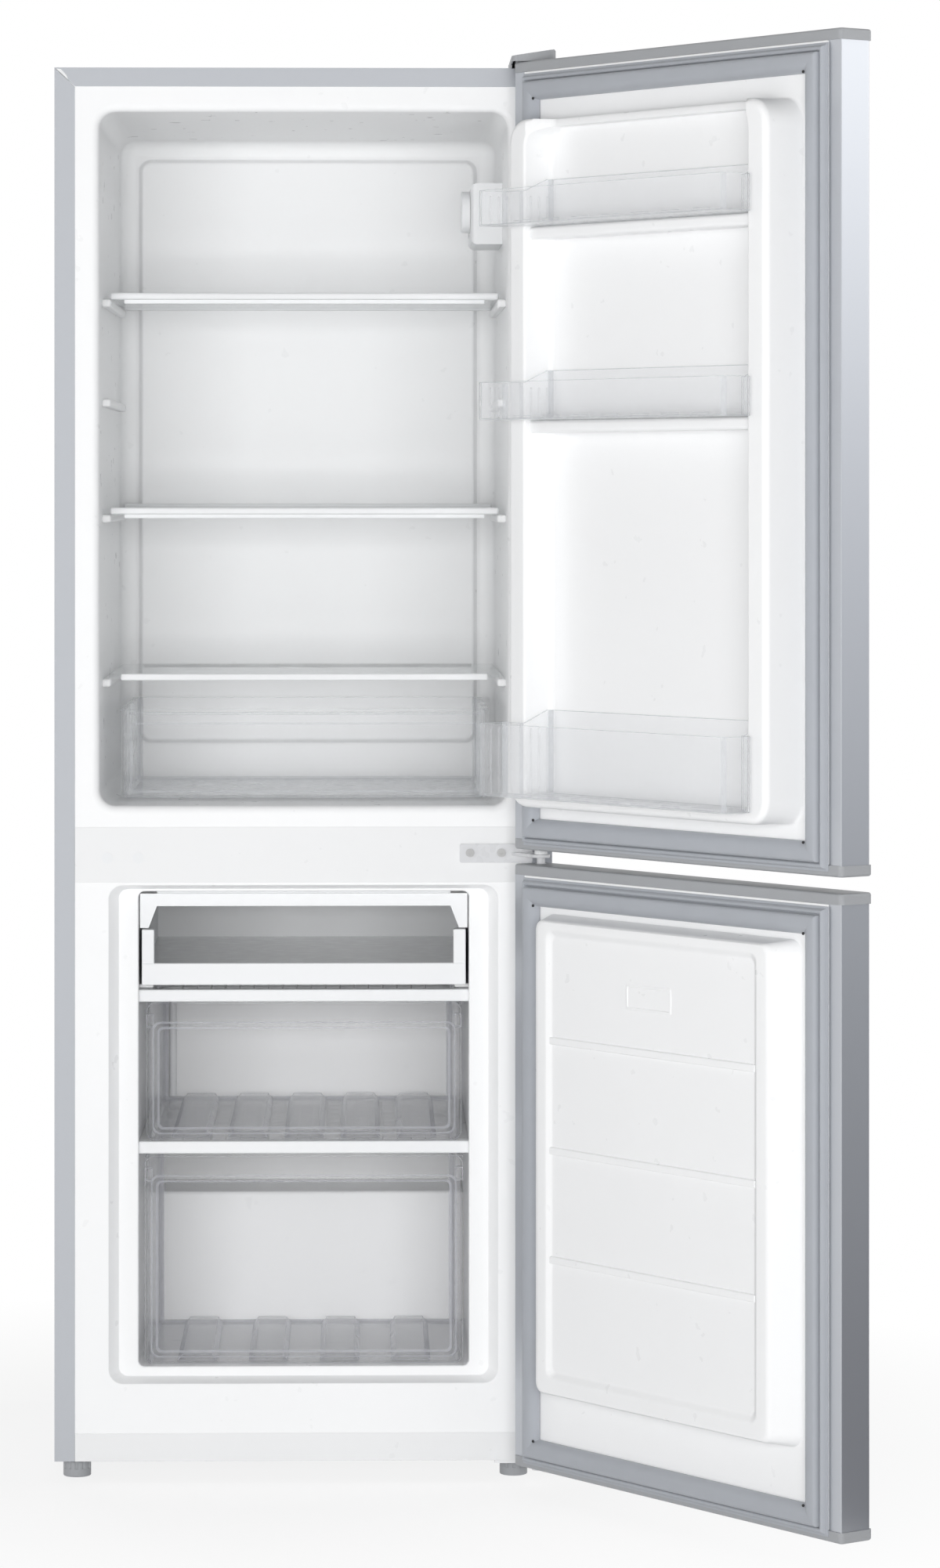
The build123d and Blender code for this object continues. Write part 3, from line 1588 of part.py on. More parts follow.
with BuildPart() as mid_hinge:
    block(
        (mid_hinge_left, mid_hinge_right),
        (front_y - hinge_plate_thickness, front_y),
        (mid_hinge_bottom, mid_hinge_top),
    )
    fillet(mid_hinge.edges().filter_by(Axis.Y), 2)
    arm_z = (
        mid_hinge_arm_z - hinge_plate_thickness / 2,
        mid_hinge_arm_z + hinge_plate_thickness / 2,
    )
    with BuildSketch(Plane.XY.offset(arm_z[0])):
        with BuildLine():
            Polyline(
                (mid_hinge_screws[1] + screw_head_diameter, front_y),
                (mid_hinge_right, front_y),
                (pin_x + hinge_arm_half_width, pin_y),
                (pin_x - hinge_arm_half_width, pin_y),
                close=True,
            )
        make_face()
        with Locations((pin_x, pin_y)):
            Circle(hinge_arm_half_width)
    extrude(amount=hinge_plate_thickness)
    post(pin_x, pin_y, (lower_door_top - pin_reach, upper_door_bottom + pin_reach), pin_diameter)
    for x in mid_hinge_screws:
        with Locations(Plane(origin=(x, front_y, screw_height), z_dir=(0, 1, 0))):
            Cylinder(screw_bore / 2, 4 * hinge_plate_thickness, mode=Mode.SUBTRACT)
save(mid_hinge.part, "mid_hinge")

with BuildPart() as bottom_hinge:
    plate_z = (cabinet_bottom - hinge_plate_thickness, cabinet_bottom)
    block((bottom_hinge_left, hinge_right), (front_y, depth(bottom_hinge_rear)), plate_z)
    block((pin_x - hinge_arm_half_width, hinge_right), (pin_y, front_y), plate_z)
    post(pin_x, pin_y, plate_z, 2 * hinge_arm_half_width)
    post(pin_x, pin_y, (plate_z[0], lower_door_bottom + pin_reach), pin_diameter)
    post(foot_positions["right"], foot_y, (plate_z[0] - 1, plate_z[1] + 1), stem_bore, Mode.SUBTRACT)
    for y in hinge_screw_y:
        post(pin_x, y, plate_z, screw_bore, Mode.SUBTRACT)
save(bottom_hinge.part, "bottom_hinge")

def screw(head_plane, length):
    """A pan-head screw whose head lies on a plane and whose shank goes against its normal."""
    with Locations(head_plane):
        Cylinder(
            screw_head_diameter / 2,
            screw_head_height,
            align=(Align.CENTER, Align.CENTER, Align.MIN),
        )
        Cylinder(screw_shank_diameter / 2, length, align=(Align.CENTER, Align.CENTER, Align.MAX))
        for turn in (0, 90):
            with Locations(Location((0, 0, screw_head_height), (0, 0, turn))):
                Box(screw_head_diameter / 2, 1.0, screw_head_height, mode=Mode.SUBTRACT)


with BuildPart() as hinge_screws:
    for x in mid_hinge_screws:
        screw(
            Plane(origin=(x, front_y - hinge_plate_thickness, screw_height), z_dir=(0, -1, 0)),
            screw_length,
        )
    for y in hinge_screw_y:
        screw(
            Plane(origin=(top_screw_x, y, top_hinge_z + hinge_plate_thickness), z_dir=(0, 0, 1)),
            top_hinge_rise + hinge_plate_thickness,
        )
        screw(
            Plane(origin=(pin_x, y, cabinet_bottom - hinge_plate_thickness), z_dir=(0, 0, -1)),
            hinge_plate_thickness,
        )
save(hinge_screws.part, "hinge_screws")

# ---------------------------------------------------------------- feet
for side, x in foot_positions.items():
    with BuildPart() as foot:
        post(x, foot_y, (0, foot_height), foot_diameter)
        fillet(foot.edges(), 1.5)
        with Locations((x, foot_y, foot_height)):
            with PolarLocations(foot_diameter / 2 + 1, 12):
                Cylinder(2, foot_height, mode=Mode.SUBTRACT)
        post(x, foot_y, (foot_height, stem_top), foot_stem_diameter)
    save(foot.part, f"{side}_front_foot")

with BuildPart() as rear_feet:
    for x in (-rear_foot_x, rear_foot_x):
        post(x, rear_y - rear_foot_setback, (0, cabinet_bottom), rear_foot_diameter)
    fillet(rear_feet.faces().sort_by(Axis.Z)[:2].edges(), 2)
save(rear_feet.part, "rear_feet")
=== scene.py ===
"""The looks of a bottom freezer refrigerator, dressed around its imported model."""
import json
import math
import bmesh
import bpy
from mathutils import Matrix, Vector


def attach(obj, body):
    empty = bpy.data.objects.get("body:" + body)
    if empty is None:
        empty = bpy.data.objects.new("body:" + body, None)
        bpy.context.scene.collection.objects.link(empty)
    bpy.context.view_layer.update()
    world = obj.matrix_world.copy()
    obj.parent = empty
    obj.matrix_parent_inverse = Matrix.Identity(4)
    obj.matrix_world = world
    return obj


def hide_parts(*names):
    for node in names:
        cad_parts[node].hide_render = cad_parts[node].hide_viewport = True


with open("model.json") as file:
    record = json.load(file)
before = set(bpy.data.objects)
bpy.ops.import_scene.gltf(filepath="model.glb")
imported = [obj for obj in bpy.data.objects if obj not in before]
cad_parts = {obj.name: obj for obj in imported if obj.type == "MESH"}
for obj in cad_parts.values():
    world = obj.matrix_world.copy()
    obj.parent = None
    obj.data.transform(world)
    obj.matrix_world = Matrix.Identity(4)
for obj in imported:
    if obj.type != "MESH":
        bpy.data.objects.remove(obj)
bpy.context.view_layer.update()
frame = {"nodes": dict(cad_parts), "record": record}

# ---------------------------------------------------------------- materials


class Signal:
    """A shader value. Sums and products of it, with numbers or with others, add Math nodes."""

    def __init__(self, finish, socket):
        self.finish = finish
        self.socket = socket

    def math(self, operation, first, second):
        return self.finish.node("Math", {0: first, 1: second}, operation=operation)

    def __add__(self, other):
        return self.math("ADD", self, other)

    def __radd__(self, other):
        return self.math("ADD", other, self)

    def __sub__(self, other):
        return self.math("SUBTRACT", self, other)

    def __rsub__(self, other):
        return self.math("SUBTRACT", other, self)

    def __mul__(self, other):
        return self.math("MULTIPLY", self, other)

    def __rmul__(self, other):
        return self.math("MULTIPLY", other, self)

    def __truediv__(self, other):
        return self.math("DIVIDE", self, other)

    def __rtruediv__(self, other):
        return self.math("DIVIDE", other, self)

    def __pow__(self, other):
        return self.math("POWER", self, other)

    def __rpow__(self, other):
        return self.math("POWER", other, self)

    def above(self, other):
        return self.math("GREATER_THAN", self, other)

    def limited(self):
        """The value kept between 0 and 1."""
        return self.finish.node("Clamp", {"Value": self})


class Finish:
    """One material, made from a Principled shader and the nodes that feed it."""

    def __init__(self, name, **sockets):
        self.material = bpy.data.materials.new(name)
        self.material.use_nodes = True
        self.tree = self.material.node_tree
        self.shader = self.tree.nodes["Principled BSDF"]
        for socket, value in sockets.items():
            self.set(socket.replace("_", " "), value)

    def set(self, socket, value):
        """Sets one of the shader's sockets to a value or feeds it."""
        target = self.shader.inputs[socket]
        if isinstance(value, Signal):
            self.tree.links.new(value.socket, target)
        elif isinstance(value, tuple) and len(value) == 3:
            target.default_value = (*value, 1)
        else:
            target.default_value = value

    def node(self, kind, values=None, out=0, stops=None, **settings):
        """Adds a node: its settings first, then the values or links of its sockets."""
        made = self.tree.nodes.new("ShaderNode" + kind)
        for setting, value in settings.items():
            setattr(made, setting, value)
        if stops:
            ramp = made.color_ramp
            for number, (place, colour) in enumerate(stops):
                if number < 2:
                    stop = ramp.elements[number]
                    stop.position = place
                else:
                    stop = ramp.elements.new(place)
                stop.color = (*colour, 1)
        for socket, value in (values or {}).items():
            if isinstance(value, Signal):
                self.tree.links.new(value.socket, made.inputs[socket])
            else:
                made.inputs[socket].default_value = value
        return Signal(self, made.outputs[out])

    def place(self):
        """The point on the object, in metres."""
        return self.node("TexCoord", out="Object")

    def axis(self, name):
        """One coordinate of the point on the object."""
        return self.node("SeparateXYZ", {0: self.place()}, out=name)

    def noise(self, scale, detail=2.0):
        """A soft random value round one half."""
        values = {"Vector": self.place(), "Scale": scale, "Detail": detail}
        return self.node("TexNoise", values)

    def blend(self, amount, first, second):
        """A colour between two others, each a tuple or a link."""
        ends = [(*end, 1) if isinstance(end, tuple) else end for end in (first, second)]
        return self.node("Mix", {0: amount, 6: ends[0], 7: ends[1]}, out=2, data_type="RGBA")

    def mottle(self, cloud, colour, tone):
        """Feeds a colour that is darker, by a tone at most, where a cloud is low."""
        dark = tuple(part * (1 - tone) for part in colour)
        self.set("Base Color", self.blend(cloud, dark, colour))

    def uneven_gloss(self, scale, roughness, spread):
        """Feeds a roughness that strays a little to both sides of its middle."""
        self.set("Roughness", self.noise(scale) * spread + (roughness - spread / 2))

    def bump(self, height, distance):
        """Feeds a height to the shader's normal, with the distance that it stands, in metres."""
        self.set("Normal", self.node("Bump", {"Height": height, "Distance": distance}))

    def show(self, surface):
        """Shows a surface in place of the shader's own."""
        self.tree.links.new(surface.socket, self.tree.nodes["Material Output"].inputs["Surface"])


def moulded(name, colour, roughness, grain=900.0, tone=0.02):
    """Moulded or vacuum-formed plastic: slightly uneven gloss and a faint skin texture."""
    finish = Finish(name, Specular_IOR_Level=0.45)
    finish.mottle(finish.noise(6.0, 3.0), colour, tone)
    finish.uneven_gloss(60.0, roughness, 0.12)
    finish.bump(finish.noise(grain, 3.0), 0.00001)
    return finish.material


def clear(name, colour, face_on, edge_on, roughness=0.16):
    """Clear moulded plastic or glass: thin walls let the light by, and slanting ones show."""
    finish = Finish(name, Base_Color=colour, Specular_IOR_Level=0.5)
    finish.uneven_gloss(80.0, roughness, 0.08)
    slant = finish.node("LayerWeight", {"Blend": 0.35}, out="Facing") ** 2.0
    finish.set("Alpha", (slant * (edge_on - face_on) + face_on).limited())
    finish.bump(finish.noise(120.0), 0.0002)
    return finish.material


def coated(name, colour, roughness, metallic):
    """Silver coated steel sheet with a very fine flake."""
    finish = Finish(name, Metallic=metallic, Coat_Weight=0.15, Coat_Roughness=0.2)
    flake = finish.noise(2600.0)
    finish.mottle(flake, colour, 0.06)
    finish.uneven_gloss(900.0, roughness, 0.1)
    finish.bump(flake, 0.00002)
    return finish.material


def metal(name, colour, roughness, metallic=1.0):
    """Bare, plated or enamelled metal with small variations from rolling and handling."""
    finish = Finish(name, Metallic=metallic)
    finish.mottle(finish.noise(25.0, 4.0), colour, 0.15)
    finish.uneven_gloss(700.0, roughness, 0.2)
    finish.bump(finish.noise(700.0, 3.0), 0.00003)
    return finish.material


def seal_rubber(name, colour):
    """Soft light grey seal, dull with a powdery bloom."""
    finish = Finish(name, Specular_IOR_Level=0.35, Sheen_Weight=0.1)
    cloud = finish.noise(40.0, 4.0)
    finish.mottle(cloud, colour, 0.08)
    finish.set("Roughness", cloud * 0.15 + 0.45)
    finish.bump(finish.noise(1500.0), 0.00003)
    return finish.material


def foam(name, low, high):
    """Rigid insulating foam, cut and cellular."""
    finish = Finish(name, Roughness=0.9)
    cells = finish.node("TexVoronoi", {"Vector": finish.place(), "Scale": 700.0})
    finish.set("Base Color", finish.blend(cells, low, high))
    finish.bump(cells, 0.0005)
    return finish.material


def pipes(name, above, before):
    """Copper pipes, painted white in the freezer, above a height and before a depth."""
    finish = Finish(name)
    cloud = finish.noise(25.0, 4.0)
    copper = finish.blend(cloud, (0.50, 0.26, 0.16), (0.62, 0.32, 0.20))
    painted = finish.axis("Z").above(above) * (1 - finish.axis("Y").above(before))
    finish.set("Base Color", finish.blend(painted, copper, (0.80, 0.81, 0.82)))
    finish.set("Metallic", 1 - painted)
    finish.uneven_gloss(700.0, 0.3, 0.2)
    return finish.material


ENAMEL = {"grain": 1500.0, "tone": 0.01}
finishes = {
    "silver_paint": coated("silver_coat", (0.545, 0.565, 0.60), 0.36, metallic=0.8),
    "back_sheet": metal("grey_back_sheet", (0.38, 0.39, 0.40), 0.5, metallic=0.6),
    "base_sheet": metal("zinc_base_sheet", (0.45, 0.46, 0.47), 0.45, metallic=0.9),
    "black_enamel": metal("black_enamel", (0.014, 0.014, 0.016), 0.35, metallic=0.0),
    "white_enamel": moulded("white_enamel", (0.83, 0.835, 0.84), 0.30, **ENAMEL),
    "liner_white": moulded("liner_white", (0.92, 0.925, 0.93), 0.30),
    "trim_white": moulded("trim_white", (0.86, 0.87, 0.88), 0.32),
    "plug_white": moulded("plug_white", (0.82, 0.83, 0.84), 0.45),
    "foam": foam("insulating_foam", (0.78, 0.775, 0.74), (0.88, 0.875, 0.85)),
    "evaporator_plate": metal("plain_aluminium", (0.70, 0.71, 0.72), 0.4),
    "black_plastic": moulded("black_plastic", (0.02, 0.02, 0.021), 0.5),
    "grey_plastic": moulded("grey_plastic", (0.36, 0.37, 0.385), 0.42),
    "copper": pipes("drawn_copper", above=0.1, before=0.168),
    "hinge_enamel": moulded("hinge_enamel", (0.66, 0.665, 0.68), 0.28, **ENAMEL),
    "mount_rubber": moulded("black_rubber", (0.018, 0.018, 0.018), 0.7),
    "shelf_glass": clear("shelf_glass", (0.80, 0.86, 0.86), 0.03, 0.5, roughness=0.06),
    "clear_plastic": clear("clear_plastic", (0.88, 0.895, 0.92), 0.025, 0.8),
    "frosted_plastic": clear("lilac_clear_plastic", (0.90, 0.905, 0.94), 0.015, 0.7),
    # Darker, more opaque copies of the clear finishes: painted shade for their slanted faces.
    "clear_edge_painted_shade": clear("clear_edge_painted_shade", (0.66, 0.68, 0.71), 0.30, 0.85),
    "frosted_edge_painted_shade": clear("lilac_clear_painted_shade", (0.62, 0.63, 0.68), 0.36, 0.85),
    "lamp_glass": clear("frosted_lamp_glass", (0.9, 0.9, 0.86), 0.5, 0.95),
    "tray_plastic": moulded("tray_grey", (0.86, 0.87, 0.88), 0.13),
    "gasket_grey": seal_rubber("seal_grey", (0.42, 0.44, 0.475)),
    "zinc": metal("zinc_plate", (0.62, 0.62, 0.62), 0.35),
}
slots = {part["node"]: part["material_slot"] for part in frame["record"]["subparts"]}
for name, thing in frame["nodes"].items():
    for holder in thing.material_slots:
        holder.material = finishes["hinge_enamel" if name == "mid_hinge" else slots[name]]

# ---------------------------------------------------------------- modelling, in millimetres

# The places along Y of the main faces. The doors are drawn shut, and opened at the end.
FRONT = -240.0
LINER_EDGE = -239.2
DOOR_BACK = -250.9
DOOR_CREST = -204.2
PIN_LINE = (237.4, -275.0, 0.0)
DOOR_ANGLE = math.radians(125.4)

LINER_WALL = 1.4
DOOR_LINER_WALL = 1.1
STEEL_WALL = 0.4
BIN_WALL = 1.8

MERGED = 0.005
LEAST_STEP = 0.03
MILLIMETRE = 0.001
# The second finish of a clear piece, for faces that are square to none of the axes: a darker, more
# opaque copy that paints shade on slanted walls and bends, where refraction draws grey lines in
# real clear plastic.
CLEAR_PAINTED_SHADE = {"clear_plastic": "clear_edge_painted_shade", "frosted_plastic": "frosted_edge_painted_shade"}
SQUARE = 0.95
# Matrices that set a flat outline square to an axis.
PLANES = {
    "x": Matrix(((0, 0, 1), (1, 0, 0), (0, 1, 0))).to_4x4(),
    "y": Matrix(((1, 0, 0), (0, 0, 1), (0, 1, 0))).to_4x4(),
    "z": Matrix.Identity(4),
}


def depth(d):
    """The place of a depth behind the cabinet's front."""
    return FRONT + d


def both_sides(inner, outer):
    """The span between two distances from the middle, on the left and on the right."""
    return [sorted((side * inner, side * outer)) for side in (-1, 1)]


def verts_of(geometry):
    """The vertices in what an operator gives back."""
    return [item for item in geometry if isinstance(item, bmesh.types.BMVert)]


def edges_of(geometry):
    """The edges in what an operator gives back."""
    return [item for item in geometry if isinstance(item, bmesh.types.BMEdge)]


def cut(form, point, direction, **clearing):
    """Cuts the whole form by a plane."""
    geometry = list(form.verts) + list(form.edges) + list(form.faces)
    return bmesh.ops.bisect_plane(
        form, geom=geometry, plane_co=point, plane_no=direction, **clearing
    )["geom_cut"]


def rounded(form, geometry, radius, segments, affect="EDGES"):
    """Rounds edges, or the corners of a flat face, with an arc."""
    bmesh.ops.bevel(
        form, geom=geometry, offset=radius, offset_type="OFFSET", affect=affect,
        segments=segments, profile=0.5, material=-1,
    )


def rounded_face(form, left, right, low, high, corner, level, across="y", segments=6):
    """A rectangle with rounded corners, square to one axis; corner may be (low, high) radii."""
    before = set(form.faces)
    made = bmesh.ops.create_grid(form, x_segments=1, y_segments=1, size=0.5)["verts"]
    bmesh.ops.scale(form, vec=(right - left, high - low, 1), verts=made)
    bmesh.ops.translate(form, vec=((left + right) / 2, (low + high) / 2, level), verts=made)
    radii = corner if isinstance(corner, tuple) else (corner, corner)
    middle = (low + high) / 2
    ends = [[v for v in made if v.co.y < middle], [v for v in made if v.co.y > middle]]
    for verts, radius in zip(ends, radii):
        rounded(form, verts, radius, segments, "VERTICES")
    face = (set(form.faces) - before).pop()
    bmesh.ops.transform(form, matrix=PLANES[across], verts=list(face.verts))
    return face


def lofted(form, levels, across="y", start=False, end=True, segments=6):
    """Walls through a row of rounded rectangles, each end closed or left open."""
    rings = []
    before = None
    for number, level in enumerate(levels):
        if level[5] == before:  # rings in one plane would be joined to the wrong neighbours
            level = (*level[:5], before + LEAST_STEP)
        before = level[5]
        face = rounded_face(form, *level, across=across, segments=segments)
        rings.append(list(face.edges))
        if not (start and number == 0 or end and number == len(levels) - 1):
            bmesh.ops.delete(form, geom=[face], context="FACES_ONLY")
    for ring, following in zip(rings, rings[1:]):
        bmesh.ops.bridge_loops(form, edges=ring + following)
    return rings


def drawn_in(outline, inset, corner, level):
    """A level whose sides are drawn in from another's, with a corner and a place of its own."""
    left, right, low, high = outline[:4]
    return left + inset, right - inset, low + inset, high - inset, corner, level


def turned(outline, inset, level, steps=4, hollow=False):
    """Levels of a quarter round between two levels that differ by an inset and a height."""
    corner, start = outline[4:]
    rows = []
    for step in range(1, steps + 1):
        angle = math.pi / 2 * step / steps
        across, along = math.sin(angle), 1 - math.cos(angle)
        if hollow:
            across, along = along, across
        share = inset * across
        if isinstance(corner, tuple):
            radii = tuple(max(radius - share, 0.1) for radius in corner)
        else:
            radii = max(corner - share, 0.1)
        rows.append(drawn_in(outline, share, radii, start + (level - start) * along))
    return rows


def plate_edge(outline, back, front):
    """The levels of a front plate's edge, with a small rounding before its face."""
    start = (*outline, front + 1)
    return [(*outline, back), start, *turned(start, 1, front, 3)]


def block(form, x, y, z, rounding, segments=3):
    """A block between two corners, its edges rounded; gives back its vertices."""
    before = set(form.verts)
    made = bmesh.ops.create_cube(form, size=1)["verts"]
    bmesh.ops.scale(form, vec=(x[1] - x[0], y[1] - y[0], z[1] - z[0]), verts=made)
    middle = ((x[0] + x[1]) / 2, (y[0] + y[1]) / 2, (z[0] + z[1]) / 2)
    bmesh.ops.translate(form, vec=middle, verts=made)
    rounded(form, list({edge for vert in made for edge in vert.link_edges}), rounding, segments)
    return set(form.verts) - before


def outwards(form):
    """Merges doubles and turns every closed shell's faces outwards."""
    bmesh.ops.remove_doubles(form, verts=form.verts, dist=MERGED)
    bmesh.ops.recalc_face_normals(form, faces=form.faces)
    if form.calc_volume(signed=True) < 0:
        bmesh.ops.reverse_faces(form, faces=form.faces)


def walled(form, thickness, towards):
    """Gives a sheet its thickness: a second skin, on the side that faces a direction, and rims."""
    bmesh.ops.remove_doubles(form, verts=form.verts, dist=2 * MERGED)
    bmesh.ops.recalc_face_normals(form, faces=form.faces)
    largest = max(form.faces, key=lambda face: abs(face.normal.dot(towards)) * face.calc_area())
    if largest.normal.dot(towards) < 0:
        bmesh.ops.reverse_faces(form, faces=form.faces)
    form.normal_update()
    way = {tuple(round(part, 3) for part in vert.co): vert.normal.copy() for vert in form.verts}
    grown = bmesh.ops.extrude_face_region(form, geom=list(form.faces), use_keep_orig=True)["geom"]
    for vert in verts_of(grown):
        vert.co += way[tuple(round(part, 3) for part in vert.co)] * thickness
    outwards(form)


def as_object(form, name):
    """An object of the form, which stands at the origin."""
    data = bpy.data.meshes.new(name)
    form.to_mesh(data)
    form.free()
    thing = bpy.data.objects.new(name, data)
    bpy.context.scene.collection.objects.link(thing)
    return thing


def dressed(form, name, body, slot, *stands_for, on_door=False, fold=32):
    """Makes a piece of the form: opened with its door, smooth, finished, on its body."""
    bmesh.ops.remove_doubles(form, verts=form.verts, dist=MERGED)
    # Faces square to no axis get the clear finish's darker copy, which paints shade on them.
    if slot in CLEAR_PAINTED_SHADE:
        form.normal_update()
        for face in form.faces:
            face.material_index = int(max(abs(part) for part in face.normal) < SQUARE)
    if on_door:
        turn = Matrix.Rotation(DOOR_ANGLE, 4, "Z")
        bmesh.ops.rotate(form, cent=PIN_LINE, matrix=turn, verts=form.verts)
    bmesh.ops.scale(form, vec=(MILLIMETRE, MILLIMETRE, MILLIMETRE), verts=form.verts)
    for face in form.faces:
        face.smooth = True
    thing = as_object(form, name)
    thing.data.set_sharp_from_angle(angle=math.radians(fold))
    thing.data.materials.append(finishes[slot])
    if slot in CLEAR_PAINTED_SHADE:
        thing.data.materials.append(finishes[CLEAR_PAINTED_SHADE[slot]])
    evened = thing.modifiers.new("even_normals", "WEIGHTED_NORMAL")
    evened.keep_sharp = True
    evened.weight = 80
    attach(thing, body)
    if stands_for:
        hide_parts(*stands_for)


# ---------------------------------------------------------------- cabinet's inner side


def fridge_inside():
    """The vacuum-formed liner of the fridge: rolled edge, soft corners, raised back, guides."""
    form = bmesh.new()
    mouth = (-213, 213, 670.4, 1383.6, 24, LINER_EDGE)
    levels = [(-235.5, 235.5, 651, 1407, 0.6, LINER_EDGE), mouth, *turned(mouth, 8, -231.2)]
    deep = (-202.6, 202.6, 680.8, 1373.2, 16, depth(404))
    levels += [deep, *turned(deep, 15, depth(419.6), 5, hollow=True)]
    foot = (-185.5, 185.5, 719.5, 1356, 15, depth(419.8))
    levels += [foot, (-183, 183, 722, 1353.5, 13, depth(418.6))]
    edge = (-180, 180, 725, 1350.5, 11, depth(411.4))
    levels += [edge, *turned(edge, 3.2, depth(409), 5, hollow=True)]
    lofted(form, levels, segments=7)
    walled(form, LINER_WALL, Vector((0, 1, 0)))
    for guide_top in (1189.5, 970.5, 1088.0, 803.7):
        for x in both_sides(196.2, 205.6):
            block(form, x, (depth(58), depth(400)), (guide_top - 8, guide_top), 2.6, 4)
    dressed(form, "fridge_inner_liner", "cabinet", "liner_white", "fridge_liner")


def freezer_inside():
    """The vacuum-formed liner of the freezer: sunk frame, step over the machine, runners."""
    form = bmesh.new()
    mouth = (-196.6, 196.6, 96.4, 599.6, 15.5, LINER_EDGE)
    levels = [(-235.5, 235.5, 42, 607, 0.6, LINER_EDGE), mouth, *turned(mouth, 1.6, -237.6)]
    levels += [(-187.2, 187.2, 101.8, 594.1, 10.5, depth(18.2))]
    levels += [(-186.3, 186.3, 102.6, 593.7, 9.6, depth(19.6))]
    levels += [(-184.8, 184.8, 103.9, 593.4, 8.8, depth(20))]
    opening = (-168.5, 168.5, 110, 592.9, 8, depth(20))
    levels += [opening, *turned(opening, 2, depth(22))]
    rear = (-166.2, 166.2, 112.3, 591.2, 8, depth(391))
    levels += [rear, *turned(rear, 8, depth(399.4), hollow=True)]
    lofted(form, levels)
    walled(form, LINER_WALL, Vector((0, 1, 0)))
    block(form, (-166.4, 166.4), (depth(296), depth(399)), (112.6, 252), 4, 4)
    for runner_top in (495.7, 337.7):
        for x in both_sides(152.2, 166.9):
            block(form, x, (depth(42), depth(390)), (runner_top - 4, runner_top), 1.4)
    dressed(form, "freezer_inner_liner", "cabinet", "liner_white", "freezer_liner")


def mitre_painted_highlight():
    """A thin white plate beside the mitre of the front flanges, top left: a painted highlight on
    the fold of the silver sheet.
    """
    form = bmesh.new()
    corners = ((-248.4, 1418.8), (-236.2, 1407.8), (-238.0, 1412.6), (-243.6, 1418.4))
    face = form.faces.new([form.verts.new((x, -239.9, z)) for x, z in corners])
    grown = bmesh.ops.extrude_face_region(form, geom=[face], use_keep_orig=True)["geom"]
    bmesh.ops.translate(form, vec=(0, -0.45, 0), verts=verts_of(grown))
    outwards(form)
    dressed(form, "mitre_painted_highlight", "cabinet", "white_enamel")


# ---------------------------------------------------------------- shelves and drawers


def shelf_rails(name, base):
    """The moulded front and rear rails on a glass shelf, rounded in front, with a rear upstand."""
    form = bmesh.new()
    low = base - 1.5
    block(form, (-198, 198), (depth(78), depth(91)), (low, low + 7), 2.4, 4)
    block(form, (-184, 184), (depth(87), depth(91)), (low - 4, low + 1), 1.0)
    block(form, (-198, 198), (depth(396), depth(409)), (low, low + 7), 1.6)
    block(form, (-198, 198), (depth(405.6), depth(409)), (low + 2, low + 10), 1.2)
    dressed(form, f"{name}_shelf_rails", f"{name}_shelf", "trim_white", f"{name}_shelf_trims")


def open_tray(form, x, y, z, corner, wall):
    """A tray with upright walls, rounded corners and a rounded foot, open above."""
    foot, lip = 3.0, 0.6
    outer = (*x, *y, corner, z[0] + foot)
    brim = (*x, *y, corner, z[1] - lip)
    levels = [drawn_in(outer, foot, corner, z[0]), outer, brim]
    levels += turned(brim, lip, z[1], 2, hollow=True)
    inner = drawn_in(outer, wall, max(corner - wall, 1), z[0] + wall + foot)
    levels += [(*inner[:5], z[1]), inner, drawn_in(inner, foot, inner[4], z[0] + wall)]
    lofted(form, levels, across="z", start=True)


def open_box(form, x, y, z, corner, wall):
    """An open tray without its front wall, so that a front plate can close it."""
    open_tray(form, x, (y[0] - 30, y[1]), z, corner, wall)
    rim = cut(form, (0, y[0], 0), (0, 1, 0), clear_inner=True)
    bmesh.ops.holes_fill(form, edges=edges_of(rim), sides=0)


def framed_front(form, half, low, high, back, corner, frame_width, bead):
    """A drawer's front plate with rounded corners and a raised bead round its field."""
    front = back - 3.2
    field = (
        -half + frame_width, half - frame_width,
        low + frame_width, high - frame_width - frame_width * 2, corner - 1, front,
    )
    levels = [*plate_edge((-half, half, low, high, corner), back, front), field]
    levels += [drawn_in(field, 1.7, corner - 1.5, front - bead)]
    levels += [drawn_in(field, 5, corner - 3, front - bead)]
    levels += [drawn_in(field, 7.2, corner - 4, front + 0.4)]
    lofted(form, levels, start=True)


def freezer_drawer(name, half, low, high, rear, ridges):
    """A clear freezer drawer: body, rims on its sides, beaded front and ridges in its floor."""
    form = bmesh.new()
    body = half - 3
    open_box(form, (-body, body), (depth(35.6), depth(rear)), (low, high - 1), 9, 2.2)
    for rim, grip in zip(both_sides(body - 1, half), both_sides(half - 8, half)):
        block(form, rim, (depth(44), depth(rear - 9)), (high - 3.6, high - 1), 0.9)
        block(form, grip, (depth(33.2), depth(48)), (high - 26, high - 12), 1.6)
    framed_front(form, half, low, high, depth(36.8), corner=9, frame_width=6.5, bead=1.9)
    reach = body - 14
    for number in range(ridges):
        x = (number + 0.5) / ridges * 2 * reach - reach
        ridge = block(form, (x - 20, x + 20), (depth(42), depth(rear - 6)), (low + 2, low + 9), 1.4)
        for vert in ridge:
            if vert.co.z > low + 5:
                vert.co.x = x + (vert.co.x - x) * 0.78
    outwards(form)
    dressed(form, f"{name}_moulding", name, "frosted_plastic", name)


